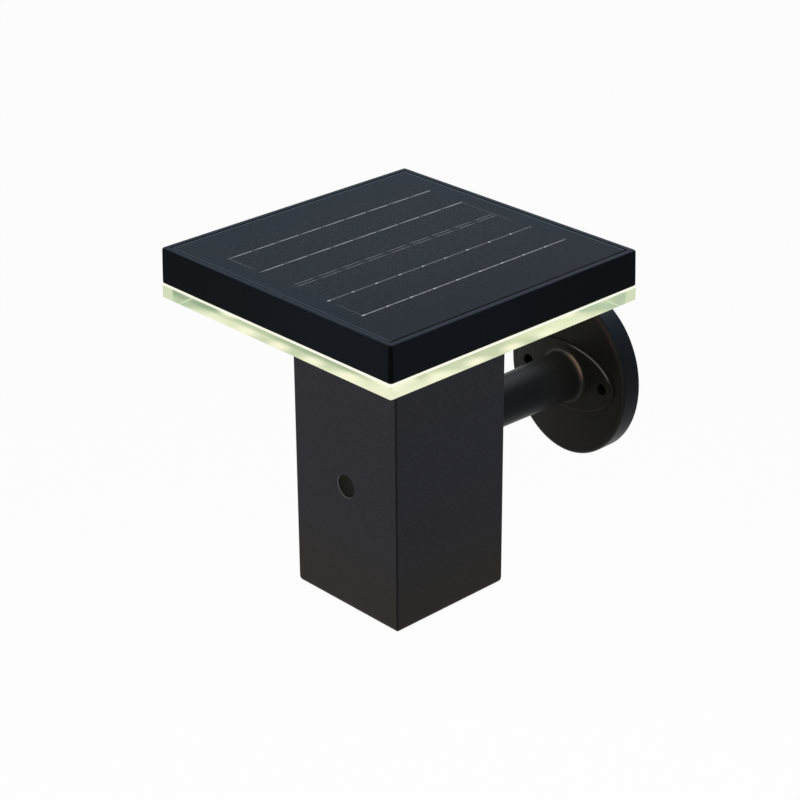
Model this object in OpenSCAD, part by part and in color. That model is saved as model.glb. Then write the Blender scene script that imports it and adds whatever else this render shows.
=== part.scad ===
// Solar fence light: a flat square head with a solar panel on top and a lit acrylic plate
// under it, on a square post that a short round arm holds off the wall.
// Millimetres, +Z up, the front of the lamp faces -Y.
// The origin is the centre of the wall plate's back face, on the axis of the arm.

/* [Head casing] */
// Width of the square casing at its underside
head_w = 150; // [136:1:190]
// Height of the casing
head_h = 17; // [15.4:0.2:26]
// Draft of each side over the whole height
head_draft = 0.35; // [0:0.05:0.8]
// Thickness of the side walls
head_wall = 2.4; // [1.8:0.1:3.2]
// Thickness of the deck under the panel
deck_t = 3; // [2.6:0.1:3.6]
// Radius of the upright corners
head_corner_r = 1.8; // [1.3:0.1:4]
// Rounding of the top edge
head_top_r = 1.2; // [0.6:0.1:1.6]
// Rounding of the bottom edge
head_foot_r = 0.8; // [0.4:0.1:1.2]
// Width of the lip around the panel
lip_w = 3; // [1.8:0.1:4]
// Height of the lip above the panel's face
lip_proud = 0.3; // [0.1:0.1:0.8]

/* [Solar panel] */
// Gap between the lip and the laminate
panel_gap = 0.6; // [0.3:0.1:1.2]
// Thickness of the clear cover sheet
glazing_t = 0.8; // [0.5:0.1:1.2]
// Thickness of the backing board
backing_t = 1; // [0.6:0.1:1.6]
// Thickness of the cells
cell_t = 0.3; // [0.2:0.05:0.4]
// Rows of cell strips, from front to back
cell_rows = 9; // [7:1:11]
// Gap between two rows
cell_row_gap = 0.4; // [0.2:0.1:1]
// Gap between the two columns
cell_column_gap = 2; // [1:0.2:4]
// Bare laminate beside the cells
cell_side_margin = 7; // [5:0.2:12]
// Bare laminate in front of the cells and behind them
cell_end_margin = 9.8; // [6:0.2:16]
// Width of a busbar
busbar_w = 0.9; // [0.6:0.1:1.6]
// Thickness of a busbar
busbar_t = 0.15; // [0.1:0.05:0.25]
// Distance between the two busbars of a strip
busbar_spread = 21.8; // [16:0.2:28]
// Bare end of a strip beyond its busbar
busbar_end = 0.5; // [0.2:0.1:1.5]
// Thickness of the foam tape under the laminate
tape_t = 0.5; // [0.3:0.1:1]
// Width of the foam tape
tape_w = 8; // [5:0.5:12]
// Distance of the tape from the laminate's edge
tape_inset = 2.4; // [1:0.2:5]

/* [Light guide] */
// Thickness of the acrylic plate
guide_t = 6.8; // [5:0.2:10]
// Set-back of the acrylic's edge from the casing's side
guide_inset = 0.1; // [0:0.05:0.5]
// Acrylic between the centre of a screw and the edge of the window
guide_land = 5.8; // [5:0.1:8]
// Thickness of the white reflector sheet
reflector_t = 0.4; // [0.2:0.1:0.5]
// Width of a reflector window under a diode
reflector_window = 5.6; // [4.6:0.2:7]

/* [Diodes] */
// Diodes along each side
leds_per_side = 4; // [2:1:4]
// Distance between two diodes
led_pitch = 22; // [14:0.5:24]
// Distance of the diodes from the acrylic's edge
led_inset = 25; // [22:0.5:30]
// Length of a diode
led_l = 3.5; // [2.8:0.1:4]
// Width of a diode
led_w = 2.8; // [2:0.1:3.2]
// Height of a diode
led_h = 0.8; // [0.5:0.1:1]
// Width of the strips of the diode board
led_board_w = 10; // [8:0.5:12]
// Thickness of the diode board
led_board_t = 1.2; // [0.8:0.1:1.6]

/* [Base plate] */
// Thickness of the base plate inside the casing
base_t = 2; // [1.6:0.1:3]
// Radius of the base plate's pads and pillars
base_pad_r = 4.2; // [3.8:0.1:5]
// Distance of the casing's screws from the middle of the head
casing_screw_place = 52; // [44:1:54]
// Outer radius of the grommet's collar
grommet_r = 5.6; // [5:0.1:6.2]
// Radius of the grommet's bore
grommet_bore_r = 3.1; // [2.9:0.05:3.3]
// Thickness of one collar of the grommet
grommet_collar_t = 1; // [0.8:0.1:1.4]

/* [Post] */
// Width of the square post
post_w = 68; // [62:1:90]
// Height of the post
post_h = 146.4; // [136:1:190]
// Thickness of the post's walls
post_wall = 3; // [2.4:0.1:4]
// Thickness of the closed bottom
post_floor = 3; // [2:0.2:5]
// Radius of the upright edges
post_edge_r = 0.9; // [0.5:0.1:2]
// Rounding of the bottom edge
post_foot_r = 3.5; // [1:0.1:4]
// Width of the groove in the top rim
seal_w = 1.2; // [0.8:0.1:1.4]
// Depth of the groove in the top rim
seal_t = 0.8; // [0.5:0.1:1.4]
// Distance of a screw column from the inside of the two walls
column_in = 5.2; // [4.6:0.1:6]
// Length of a screw column
column_l = 24; // [18:1:30]

/* [Button] */
// Height of the arm's axis above the button's
button_drop = 9.1; // [4:0.1:16]
// Radius of the hole in the front wall
button_hole_r = 5.7; // [5:0.1:7]
// Bevel around the hole
button_bevel = 0.5; // [0.2:0.1:0.8]
// Set-back of the cap from the front face
button_recess = 1.1; // [0.6:0.1:1.4]
// Thickness of the cap's flange behind the wall
button_flange_t = 1.2; // [0.8:0.1:1.6]
// Overlap of the flange behind the wall
button_flange_w = 1.9; // [1.4:0.1:2.4]
// Length of the nub that meets the switch
button_nub_l = 1.3; // [1:0.1:2]
// Radius of the nub
button_nub_r = 2.2; // [1.8:0.1:2.8]
// Travel of the button
button_travel = 1; // [0.6:0.1:1.2]

/* [Control board] */
// Width of the board
board_w = 40; // [38:1:46]
// Height of the board
board_h = 56; // [52:1:66]
// Thickness of the board
board_t = 1.6; // [1:0.1:2]
// Height of the board's middle above the button
board_rise = 15; // [14:0.5:18]
// Distance of the board's screws from its edges
board_screw_in = 4; // [3.6:0.1:4.4]
// Radius of the board's pillars
board_pillar_r = 3; // [2.6:0.1:3.4]
// Side of the push switch
switch_w = 12; // [10:0.5:13]
// Thickness of the push switch
switch_t = 3.6; // [3.2:0.1:4.5]
// Radius of the switch's plunger
plunger_r = 1.7; // [1.4:0.1:2]
// Length of the plunger outside the switch
plunger_out = 2.6; // [2:0.1:3.4]
// Length of the plunger inside the switch
plunger_in = 1.8; // [1.4:0.1:2]
// Width of a plug-in connector
connector_w = 8.6; // [7.6:0.2:9.4]
// Height of a connector
connector_h = 8; // [6:0.5:10]
// Depth of a connector, out from the board
connector_d = 6; // [5:0.2:7]
// Distance between two connectors
connector_pitch = 11; // [10:0.2:12]
// Gap between the connectors and the screw heads above them
connector_gap = 1; // [0.5:0.1:2]

/* [Battery] */
// Radius of a cell
battery_r = 9.2; // [8:0.1:9.6]
// Length of a cell
battery_l = 65; // [50:1:70]
// Gap between the two cells
battery_gap = 0.6; // [0.3:0.1:1.2]
// Wall of the tray and of the cap
tray_wall = 1.6; // [1.2:0.1:2.2]
// Clearance between the cells and the walls around them
tray_fit = 0.2; // [0.1:0.05:0.4]
// Height of the tray
tray_h = 44; // [30:1:48]
// Height of the cap
battery_cap_h = 14; // [8:1:16]
// Thickness of the contact plates
contact_t = 0.4; // [0.3:0.05:0.8]
// Width of the contact plates
contact_w = 10; // [8:0.5:14]
// Space behind the battery for the arm's screws
arm_room = 12; // [8:0.5:14]
// Length of a mounting ear
ear_l = 8; // [7:0.5:9]
// Thickness of a mounting ear
ear_t = 2; // [1.5:0.1:3]
// Height of the pillars under the ears
ear_rise = 5; // [4:0.5:8]

/* [Wires] */
// Radius of an insulated wire
wire_r = 0.8; // [0.5:0.05:0.9]
// Distance between the two wires of a pair
wire_pitch = 3.8; // [3.2:0.1:4]
// Bend radius of the diode wires
wire_bend_r = 3.6; // [2.4:0.2:5]
// Height of the battery wires' turn above the connectors
wire_turn_rise = 6; // [3:0.5:12]

/* [Arm] */
// Distance from the wall to the back of the post
arm_l = 90; // [70:1:130]
// Height of the casing's underside above the arm's axis
arm_drop = 80.5; // [70:0.5:90]
// Radius of the arm where it meets the post
arm_end_r = 11.2; // [10.6:0.1:13]
// Radius of the arm where its flare starts
arm_root_r = 12.3; // [11.2:0.1:15]
// Growth of the radius over the flare
flare_w = 2.6; // [1:0.1:4]
// Length of the flare
flare_l = 4.5; // [2:0.1:8]
// Radius of the hollow inside the arm
arm_core_r = 8; // [6:0.1:8.6]
// Solid length at the arm's end
arm_solid_l = 16; // [15:0.5:24]
// Thickness of the seal between arm and post
arm_seal_t = 0.8; // [0.5:0.1:1.5]
// Radius of the circle of the arm's screws
arm_screw_circle_r = 6.5; // [5.8:0.1:6.8]
// Depth of the tapped holes in the arm
arm_tap_l = 13; // [12.6:0.1:14]

/* [Wall plate] */
// Width of the oval plate
plate_w = 74.6; // [70:0.2:100]
// Height of the oval plate
plate_h = 85; // [80:0.5:120]
// Thickness of the plate
plate_t = 11.6; // [9:0.2:16]
// Rounding of the front edge
plate_edge_r = 2.2; // [1:0.1:3]
// Width of the rim around the hollow back
plate_rim = 3; // [2.4:0.1:5]
// Thickness of the plate's front wall
plate_front_t = 3.6; // [2.6:0.1:5]
// Width of the raised oval pad
pad_w = 63; // [60:0.5:68]
// Height of the raised oval pad
pad_h = 35; // [31:0.5:42]
// Height of the pad above the plate
pad_t = 1.5; // [0.8:0.1:2.5]
// Distance between the two wall screw holes
wall_hole_spacing = 48.4; // [45:0.2:52]
// Radius of a wall screw hole
wall_hole_r = 2.6; // [2.1:0.1:3]
// Bevel around a wall screw hole
wall_hole_bevel = 0.6; // [0.2:0.1:1]
// Radius of the boss behind a wall screw hole
wall_boss_r = 6; // [5:0.1:6.8]
// Thickness of the ribs in the hollow back
rib_t = 2.4; // [1.8:0.1:3.5]

/* [Screws] */
// Shank radius of the base and casing screws
screw_r = 1.75; // [1.5:0.05:1.9]
// Head radius of the base and casing screws
screw_head_r = 3.3; // [2.8:0.1:3.5]
// Head height of the base and casing screws
screw_head_t = 1.6; // [1.2:0.1:1.8]
// Grip of the base screws in the post's columns
screw_grip = 14; // [10:0.5:16]
// Grip of the casing screws in the base plate's pillars
casing_screw_grip = 5; // [3.6:0.2:5.2]
// Shank radius of the small screws
small_screw_r = 1.25; // [1:0.05:1.4]
// Head radius of the small screws
small_head_r = 2.3; // [2:0.1:2.4]
// Head height of the small screws
small_head_t = 1.4; // [1:0.1:1.8]
// Grip of the small screws
small_grip = 4; // [3:0.2:5]
// Shank radius of the arm's screws
arm_screw_r = 2; // [1.7:0.05:2.1]
// Head radius of the arm's screws
arm_head_r = 3.6; // [3.2:0.1:3.8]
// Head height of the arm's screws
arm_head_t = 2.8; // [2:0.1:3.2]
// Grip of the arm's screws in the arm
arm_grip = 12; // [8:0.5:12.4]
// Washer thickness under the arm's screws
washer_t = 0.8; // [0.5:0.1:1.2]
// Washer radius
washer_r = 4.2; // [3.9:0.1:4.4]
// Depth of the slot or cross in a screw head
drive_depth = 0.8; // [0.5:0.1:0.9]
// Width of one bar of the cross
drive_w = 0.7; // [0.5:0.1:1]

/* [Fits] */
// Radial room of a screw in its thread
thread_fit = 0.05; // [0.02:0.01:0.1]
// Radial room of a screw in a plain hole
hole_fit = 0.3; // [0.2:0.05:0.5]
// Radial room of the button in its hole
button_fit = 0.3; // [0.25:0.05:0.5]
// Radial room of the plunger in the switch
plunger_fit = 0.08; // [0.03:0.01:0.1]
// Room around a part that drops into a housing
drop_fit = 0.3; // [0.2:0.05:0.6]

/* [Hidden] */
$fn = 64;
hull_fn = 32;
oval_fn = 96;
round_steps = 6;
// Length by which a cut runs past the face it opens
cut = 0.5;
// Thickness of the slices that a rounded block is wrapped around
slice_t = 0.01;
// Smallest corner radius of a slice
slice_min_r = 0.1;
// Depth by which a boss is rooted in its wall
root = 0.6;

// Heights in the head, counted up from the casing's underside
panel_w = head_w - 2 * head_draft - 2 * lip_w - 2 * panel_gap;
film_t = cell_t + busbar_t;
glazing_z = head_h - lip_proud - glazing_t;
film_z = glazing_z - film_t;
backing_z = film_z - backing_t;
tape_z = backing_z - tape_t;
deck_z = tape_z - deck_t;
recess_w = panel_w + 2 * panel_gap;
head_inner_w = head_w - 2 * head_wall;
led_z = reflector_t + drop_fit;
led_board_z = led_z + led_h;
base_z = led_board_z + led_board_t;
base_top_z = base_z + base_t;
base_w = head_inner_w - 2 * drop_fit;
led_line = head_w / 2 - guide_inset - led_inset;

// Cells
cell_l = (panel_w - 2 * cell_side_margin - cell_column_gap) / 2;
cell_pitch = (panel_w - 2 * cell_end_margin + cell_row_gap) / cell_rows;
cell_w = cell_pitch - cell_row_gap;
cell_column_x = (cell_l + cell_column_gap) / 2;

// Places in the post, counted from its axis
post_in = post_w / 2 - post_wall;
column_place = post_in - column_in;
guide_w = head_w - 2 * guide_inset;
window_w = 2 * (column_place - guide_land);
button_cap_r = button_hole_r - button_fit;
button_flange_r = button_hole_r + button_flange_w;
nub_depth = post_wall + button_flange_t;
plunger_depth = nub_depth + button_nub_l;
switch_depth = plunger_depth + plunger_out;
board_depth = switch_depth + switch_t;
board_back_depth = board_depth + board_t;
board_y = -post_w / 2 + board_back_depth;
wire_y = board_y + connector_d / 2;
tray_l = 4 * battery_r + battery_gap + 2 * tray_fit + 2 * tray_wall;
tray_d = 2 * battery_r + 2 * tray_fit + 2 * tray_wall;
battery_x = battery_r + battery_gap / 2;
battery_y = post_in - arm_room - tray_d / 2;
ear_x = tray_l / 2 + ear_l / 2;

// Places of the whole lamp
post_y = -(arm_l + post_w / 2);
front_y = -(arm_l + post_w);
post_top_z = arm_drop - guide_t;
floor_z = post_floor - post_h;
button_z = -button_drop;
board_z = button_z + board_rise;
connector_top_z = board_z + board_h / 2 - board_screw_in - small_head_r - connector_gap;
arm_end_z = arm_l - arm_seal_t;
arm_start_z = plate_t + pad_t + flare_l;

// Frames in which the pieces are drawn

// The middle of the casing's underside
module at_head() {
    translate([0, post_y, arm_drop])
        children();
}

// The middle of the post's top rim
module at_post() {
    translate([0, post_y, post_top_z])
        children();
}

// The middle of the button's hole, with local z going into the post
module at_button() {
    translate([0, front_y, button_z])
        rotate([-90, 0, 0])
            children();
}

// The middle of the board's outline, with local z going into the post
module at_board() {
    translate([0, front_y, board_z])
        rotate([-90, 0, 0])
            children();
}

// The wall plane, with local z going out along the arm
module from_wall() {
    rotate([90, 0, 0])
        children();
}

module at_corners(place) {
    for (sx = [-1, 1], sy = [-1, 1])
        translate([sx * place, sy * place, 0])
            children();
}

// Outlines

module rounded_square(w, r) {
    square([w - 2 * r, w], center = true);
    square([w, w - 2 * r], center = true);
    for (sx = [-1, 1], sy = [-1, 1])
        translate([sx * (w / 2 - r), sy * (w / 2 - r)])
            circle(r = r);
}

function oval_points(w, h) =
    [for (i = [0 : oval_fn - 1]) [w / 2 * cos(360 * i / oval_fn), h / 2 * sin(360 * i / oval_fn)]];

module oval(w, h) {
    polygon(oval_points(w, h));
}

module square_ring(outer_w, inner_w) {
    difference() {
        square(outer_w, center = true);
        square(inner_w, center = true);
    }
}

// Shapes that repeat

// A square block, w wide at z = 0 and w - 2 * draft at z = h, with rounded edges at both ends
module soft_block(w, h, draft, corner_r, foot_r, top_r) {
    hull()
        for (i = [0 : round_steps]) {
            turn = 90 * i / round_steps;
            low_z = foot_r * (1 - sin(turn));
            high_z = h - slice_t - top_r * (1 - sin(turn));
            block_slice(w, h, draft, corner_r, low_z, foot_r * (1 - cos(turn)));
            block_slice(w, h, draft, corner_r, high_z, top_r * (1 - cos(turn)));
        }
}

module block_slice(w, h, draft, corner_r, z, inset) {
    slice_w = w - 2 * draft * z / h - 2 * inset;
    translate([0, 0, z])
        linear_extrude(height = slice_t)
            rounded_square(slice_w, max(corner_r - inset, slice_min_r), $fn = hull_fn);
}

// A screw that stands with its head above z = 0 and its shank below
module screw(shank_r, shank_l, head_r, head_t) {
    difference() {
        union() {
            cylinder(r = head_r, h = head_t);
            translate([0, 0, -shank_l])
                cylinder(r = shank_r, h = shank_l + head_t / 2);
        }
        for (turn = [0, 90])
            rotate([0, 0, turn])
                translate([-head_r / 2, -drive_w / 2, head_t - drive_depth])
                    cube([head_r, drive_w, drive_depth + cut]);
    }
}

module wire_pair(x) {
    for (side = [-1, 1])
        translate([x + side * wire_pitch / 2, 0, 0])
            children();
}

// Solar panel, from its face down

module panel_glazing() {
    color("#39424b", 0.4)
        at_head()
            translate([0, 0, glazing_z])
                linear_extrude(height = glazing_t)
                    square(panel_w, center = true);
}

module at_cells() {
    for (column = [-1, 1], row = [0 : cell_rows - 1])
        translate([column * cell_column_x, (row - (cell_rows - 1) / 2) * cell_pitch, 0])
            children();
}

module one_cell() {
    linear_extrude(height = cell_t)
        square([cell_l, cell_w], center = true);
}

module one_cell_busbars() {
    for (side = [-1, 1])
        translate([side * busbar_spread / 2, 0, cell_t])
            linear_extrude(height = busbar_t)
                square([busbar_w, cell_w - 2 * busbar_end], center = true);
}

module panel_film() {
    color("#20262c", 0.5)
        at_head()
            translate([0, 0, film_z])
                difference() {
                    linear_extrude(height = film_t)
                        square(panel_w, center = true);
                    at_cells() {
                        one_cell();
                        one_cell_busbars();
                    }
                }
}

module cell_busbars() {
    color("#b9bdc1")
        at_head()
            translate([0, 0, film_z])
                at_cells()
                    one_cell_busbars();
}

module solar_cells() {
    color("#1d2631")
        at_head()
            translate([0, 0, film_z])
                at_cells()
                    one_cell();
}

module panel_backing() {
    color("#17191b")
        at_head()
            translate([0, 0, backing_z])
                linear_extrude(height = backing_t)
                    square(panel_w, center = true);
}

module panel_tape() {
    color("#26272a")
        at_head()
            translate([0, 0, tape_z])
                linear_extrude(height = tape_t)
                    square_ring(panel_w - 2 * tape_inset, panel_w - 2 * tape_inset - 2 * tape_w);
}

// Head

module head_casing() {
    color("#17191c")
        at_head()
            difference() {
                soft_block(head_w, head_h, head_draft, head_corner_r, head_foot_r, head_top_r);
                translate([0, 0, tape_z])
                    linear_extrude(height = head_h)
                        square(recess_w, center = true);
                translate([0, 0, -cut])
                    linear_extrude(height = deck_z + cut)
                        square(head_inner_w, center = true);
                translate([-connector_pitch, wire_y, deck_z - cut])
                    cylinder(r = grommet_r - grommet_collar_t, h = deck_t + 2 * cut);
                at_corners(casing_screw_place) {
                    translate([0, 0, deck_z - cut])
                        cylinder(r = screw_r + hole_fit, h = deck_t + 2 * cut);
                    translate([0, 0, tape_z - screw_head_t - drop_fit])
                        cylinder(r = screw_head_r + hole_fit, h = screw_head_t + drop_fit + cut);
                }
            }
}

module casing_screws() {
    seat_z = tape_z - screw_head_t - drop_fit;
    color("#9ea1a4")
        at_head()
            at_corners(casing_screw_place)
                translate([0, 0, seat_z])
                    screw(screw_r, seat_z - deck_z + casing_screw_grip, screw_head_r, screw_head_t);
}

module head_base() {
    color("#d9dad6")
        at_head()
            difference() {
                union() {
                    translate([0, 0, base_z])
                        linear_extrude(height = base_t)
                            square(base_w, center = true);
                    at_corners(column_place)
                        translate([0, 0, reflector_t])
                            cylinder(r = base_pad_r, h = base_z - reflector_t + root);
                    at_corners(casing_screw_place)
                        translate([0, 0, base_top_z - root])
                            cylinder(r = base_pad_r, h = deck_z - base_top_z + root);
                }
                at_corners(column_place)
                    cylinder(r = screw_r + hole_fit, h = deck_z);
                at_corners(casing_screw_place)
                    translate([0, 0, deck_z - casing_screw_grip - drop_fit])
                        cylinder(r = screw_r + thread_fit, h = casing_screw_grip + drop_fit + cut);
                translate([-connector_pitch, wire_y, base_z - cut])
                    cylinder(r = grommet_r - grommet_collar_t, h = base_t + 2 * cut);
            }
}

module cable_grommet() {
    neck_r = grommet_r - grommet_collar_t;
    color("#1e1e1f")
        at_head()
            translate([-connector_pitch, wire_y, 0])
                difference() {
                    union() {
                        translate([0, 0, base_z - grommet_collar_t])
                            cylinder(r = grommet_r, h = grommet_collar_t);
                        translate([0, 0, base_z - grommet_collar_t])
                            cylinder(r = neck_r, h = base_t + 2 * grommet_collar_t);
                        translate([0, 0, base_top_z])
                            cylinder(r = grommet_r, h = grommet_collar_t);
                    }
                    translate([0, 0, base_z - grommet_collar_t - cut])
                        cylinder(r = grommet_bore_r, h = base_t + 2 * grommet_collar_t + 2 * cut);
                }
}

module at_leds() {
    for (side = [0 : 3], i = [0 : leds_per_side - 1])
        rotate([0, 0, 90 * side])
            translate([(i - (leds_per_side - 1) / 2) * led_pitch, -led_line, 0])
                children();
}

module led_board() {
    color("#e9ebe6")
        at_head()
            translate([0, 0, led_board_z])
                linear_extrude(height = led_board_t)
                    square_ring(2 * led_line + led_board_w, 2 * led_line - led_board_w);
}

module leds() {
    color("#fff3c9")
        at_head()
            at_leds()
                translate([0, 0, led_z])
                    linear_extrude(height = led_h)
                        square([led_l, led_w], center = true);
}

module reflector_sheet() {
    color("#f4f5f2")
        at_head()
            difference() {
                linear_extrude(height = reflector_t)
                    square_ring(base_w, window_w);
                at_leds()
                    translate([0, 0, -cut])
                        linear_extrude(height = reflector_t + 2 * cut)
                            square(reflector_window, center = true);
                at_corners(column_place)
                    translate([0, 0, -cut])
                        cylinder(r = screw_r + hole_fit, h = reflector_t + 2 * cut);
            }
}

module light_guide() {
    color("#dfe6bd", 0.7)
        at_head()
            translate([0, 0, -guide_t])
                difference() {
                    linear_extrude(height = guide_t)
                        square_ring(guide_w, window_w);
                    at_corners(column_place)
                        translate([0, 0, -cut])
                            cylinder(r = screw_r + hole_fit, h = guide_t + 2 * cut);
                }
}

module base_screws() {
    color("#9ea1a4")
        at_head()
            at_corners(column_place)
                translate([0, 0, base_top_z])
                    screw(screw_r, base_top_z + guide_t + screw_grip, screw_head_r, screw_head_t);
}

// Post

module post_seal() {
    seal_mid_w = post_w - post_wall;
    color("#1b1b1c")
        at_post()
            translate([0, 0, -seal_t])
                linear_extrude(height = seal_t)
                    square_ring(seal_mid_w + seal_w, seal_mid_w - seal_w);
}

module post_columns() {
    for (turn = [0 : 90 : 270])
        rotate([0, 0, turn])
            translate([column_place, column_place, -column_l]) {
                cylinder(r = base_pad_r, h = column_l);
                cube([column_in + root, column_in + root, column_l]);
            }
}

module at_board_screws() {
    for (sx = [-1, 1], sy = [-1, 1])
        translate([sx * (board_w / 2 - board_screw_in), sy * (board_h / 2 - board_screw_in), 0])
            children();
}

module at_ears() {
    for (side = [-1, 1])
        translate([side * ear_x, battery_y, floor_z])
            children();
}

module at_arm_screws() {
    for (turn = [90, 210, 330])
        rotate([0, 0, turn])
            translate([arm_screw_circle_r, 0, 0])
                children();
}

module post_housing() {
    seal_mid_w = post_w - post_wall;
    color("#302e30")
        difference() {
            union() {
                at_post()
                    difference() {
                        translate([0, 0, -post_h])
                            soft_block(post_w, post_h, 0, post_edge_r, post_foot_r, 0);
                        translate([0, 0, floor_z])
                            linear_extrude(height = post_h)
                                square(2 * post_in, center = true);
                    }
                at_post()
                    post_columns();
                at_board()
                    at_board_screws()
                        translate([0, 0, post_wall - root])
                            cylinder(r = board_pillar_r, h = board_depth - post_wall + root);
                at_post()
                    at_ears()
                        translate([0, 0, -root])
                            cylinder(r = board_pillar_r, h = ear_rise + root);
            }
            at_post() {
                at_corners(column_place)
                    translate([0, 0, -screw_grip - drop_fit])
                        cylinder(r = screw_r + thread_fit, h = screw_grip + drop_fit + cut);
                translate([0, 0, -seal_t])
                    linear_extrude(height = seal_t + cut)
                        square_ring(seal_mid_w + seal_w, seal_mid_w - seal_w);
                at_ears()
                    translate([0, 0, ear_rise - small_grip - drop_fit])
                        cylinder(r = small_screw_r + thread_fit, h = small_grip + drop_fit + cut);
            }
            at_board()
                at_board_screws()
                    translate([0, 0, board_depth - small_grip - drop_fit])
                        cylinder(r = small_screw_r + thread_fit, h = small_grip + drop_fit + cut);
            at_button() {
                translate([0, 0, -cut])
                    cylinder(r = button_hole_r, h = post_wall + 2 * cut);
                cylinder(r1 = button_hole_r + button_bevel, r2 = button_hole_r, h = button_bevel);
            }
            from_wall()
                at_arm_screws()
                    translate([0, 0, arm_l - cut])
                        cylinder(r = arm_screw_r + hole_fit, h = post_wall + 2 * cut);
        }
}

// Button and switch

module button_cap() {
    color("#1a1b18")
        at_button() {
            translate([0, 0, button_recess])
                cylinder(r = button_cap_r, h = nub_depth - button_recess);
            translate([0, 0, post_wall])
                cylinder(r = button_flange_r, h = button_flange_t);
            translate([0, 0, nub_depth - root])
                cylinder(r = button_nub_r, h = button_nub_l + root);
        }
}

module switch_plunger() {
    color("#c9c4b4")
        at_button()
            translate([0, 0, plunger_depth])
                cylinder(r = plunger_r, h = plunger_out + plunger_in);
}

module switch_body() {
    color("#2a2b2d")
        at_button()
            translate([0, 0, switch_depth])
                difference() {
                    linear_extrude(height = switch_t)
                        square(switch_w, center = true);
                    translate([0, 0, -cut])
                        cylinder(r = plunger_r + plunger_fit, h = plunger_in + button_travel + 2 * cut);
                }
}

// Electronics in the post

module control_board() {
    color("#2f6b3c")
        at_board()
            translate([0, 0, board_depth])
                difference() {
                    linear_extrude(height = board_t)
                        square([board_w, board_h], center = true);
                    at_board_screws()
                        translate([0, 0, -cut])
                            cylinder(r = small_screw_r + hole_fit, h = board_t + 2 * cut);
                }
}

// Each row: place across and up the board, then width, height and depth, as shares of the
// connector's sizes
component_shares = [
    [-1.0, -0.5, 0.8, 0.7, 0.3],
    [0.2, -0.4, 0.9, 0.9, 0.65],
    [1.1, -0.9, 0.5, 0.6, 0.3],
    [-1.0, -1.9, 0.6, 0.45, 0.35],
    [1.0, -2.0, 0.45, 0.8, 0.3]
];
capacitor_shares = [[-0.2, -1.9, 0.42, 1.1], [0.45, -2.9, 0.3, 0.9]];

module board_components() {
    color("#26282b")
        at_board()
            translate([0, 0, board_back_depth]) {
                for (row = component_shares)
                    translate([row[0] * connector_pitch, -row[1] * connector_h, 0])
                        linear_extrude(height = row[4] * connector_d)
                            square([row[2] * connector_w, row[3] * connector_h], center = true);
                for (row = capacitor_shares)
                    translate([row[0] * connector_pitch, -row[1] * connector_h, 0])
                        cylinder(r = row[2] * connector_h, h = row[3] * connector_d);
            }
}

module board_connectors() {
    color("#e8e4d6")
        for (i = [-1, 0, 1])
            translate([i * connector_pitch, post_y + wire_y, connector_top_z - connector_h])
                linear_extrude(height = connector_h)
                    square([connector_w, connector_d], center = true);
}

module board_screws() {
    color("#9ea1a4")
        at_board()
            at_board_screws()
                translate([0, 0, board_back_depth])
                    screw(small_screw_r, board_t + small_grip, small_head_r, small_head_t);
}

module battery_tray() {
    color("#2c2d30")
        at_post()
            translate([0, battery_y, floor_z])
                difference() {
                    union() {
                        translate([-tray_l / 2, -tray_d / 2, 0])
                            cube([tray_l, tray_d, tray_h]);
                        translate([-tray_l / 2 - ear_l, -board_pillar_r, ear_rise])
                            cube([tray_l + 2 * ear_l, 2 * board_pillar_r, ear_t]);
                    }
                    translate([-tray_l / 2 + tray_wall, -tray_d / 2 + tray_wall, tray_wall])
                        cube([tray_l - 2 * tray_wall, tray_d - 2 * tray_wall, tray_h]);
                    for (side = [-1, 1])
                        translate([side * ear_x, 0, ear_rise - cut])
                            cylinder(r = small_screw_r + hole_fit, h = ear_t + 2 * cut);
                }
}

module at_battery(z) {
    for (side = [-1, 1])
        translate([side * battery_x, battery_y, floor_z + tray_wall + z])
            children();
}

module battery_cells() {
    color("#3d6fa8")
        at_post()
            at_battery(contact_t)
                cylinder(r = battery_r, h = battery_l);
}

module battery_contacts() {
    top_z = contact_t + battery_l;
    color("#c8c9c7")
        at_post() {
            translate([0, battery_y, floor_z + tray_wall])
                linear_extrude(height = contact_t)
                    square([2 * battery_x + contact_w, contact_w], center = true);
            for (side = [-1, 1])
                translate([side * (battery_x + battery_gap) / 2, battery_y, floor_z + tray_wall + top_z])
                    linear_extrude(height = contact_t)
                        square([battery_x, contact_w], center = true);
        }
}

module battery_cap() {
    top_z = floor_z + tray_wall + battery_l + 2 * contact_t;
    color("#2c2d30")
        at_post()
            translate([0, battery_y, top_z])
                difference() {
                    translate([0, 0, tray_wall - battery_cap_h])
                        linear_extrude(height = battery_cap_h)
                            square([tray_l, tray_d], center = true);
                    translate([0, 0, -battery_cap_h])
                        linear_extrude(height = battery_cap_h)
                            square([tray_l - 2 * tray_wall, tray_d - 2 * tray_wall], center = true);
                    wire_pair(0)
                        translate([0, 0, -cut])
                            cylinder(r = wire_r + tray_fit, h = tray_wall + 2 * cut);
                }
}

module tray_screws() {
    color("#9ea1a4")
        at_post()
            at_ears()
                translate([0, 0, ear_rise + ear_t])
                    screw(small_screw_r, ear_t + small_grip, small_head_r, small_head_t);
}

// Wires

module panel_wires() {
    color("#8e1f1c")
        wire_pair(-connector_pitch)
            translate([0, post_y + wire_y, connector_top_z])
                cylinder(r = wire_r, h = arm_drop + backing_z - connector_top_z);
}

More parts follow.
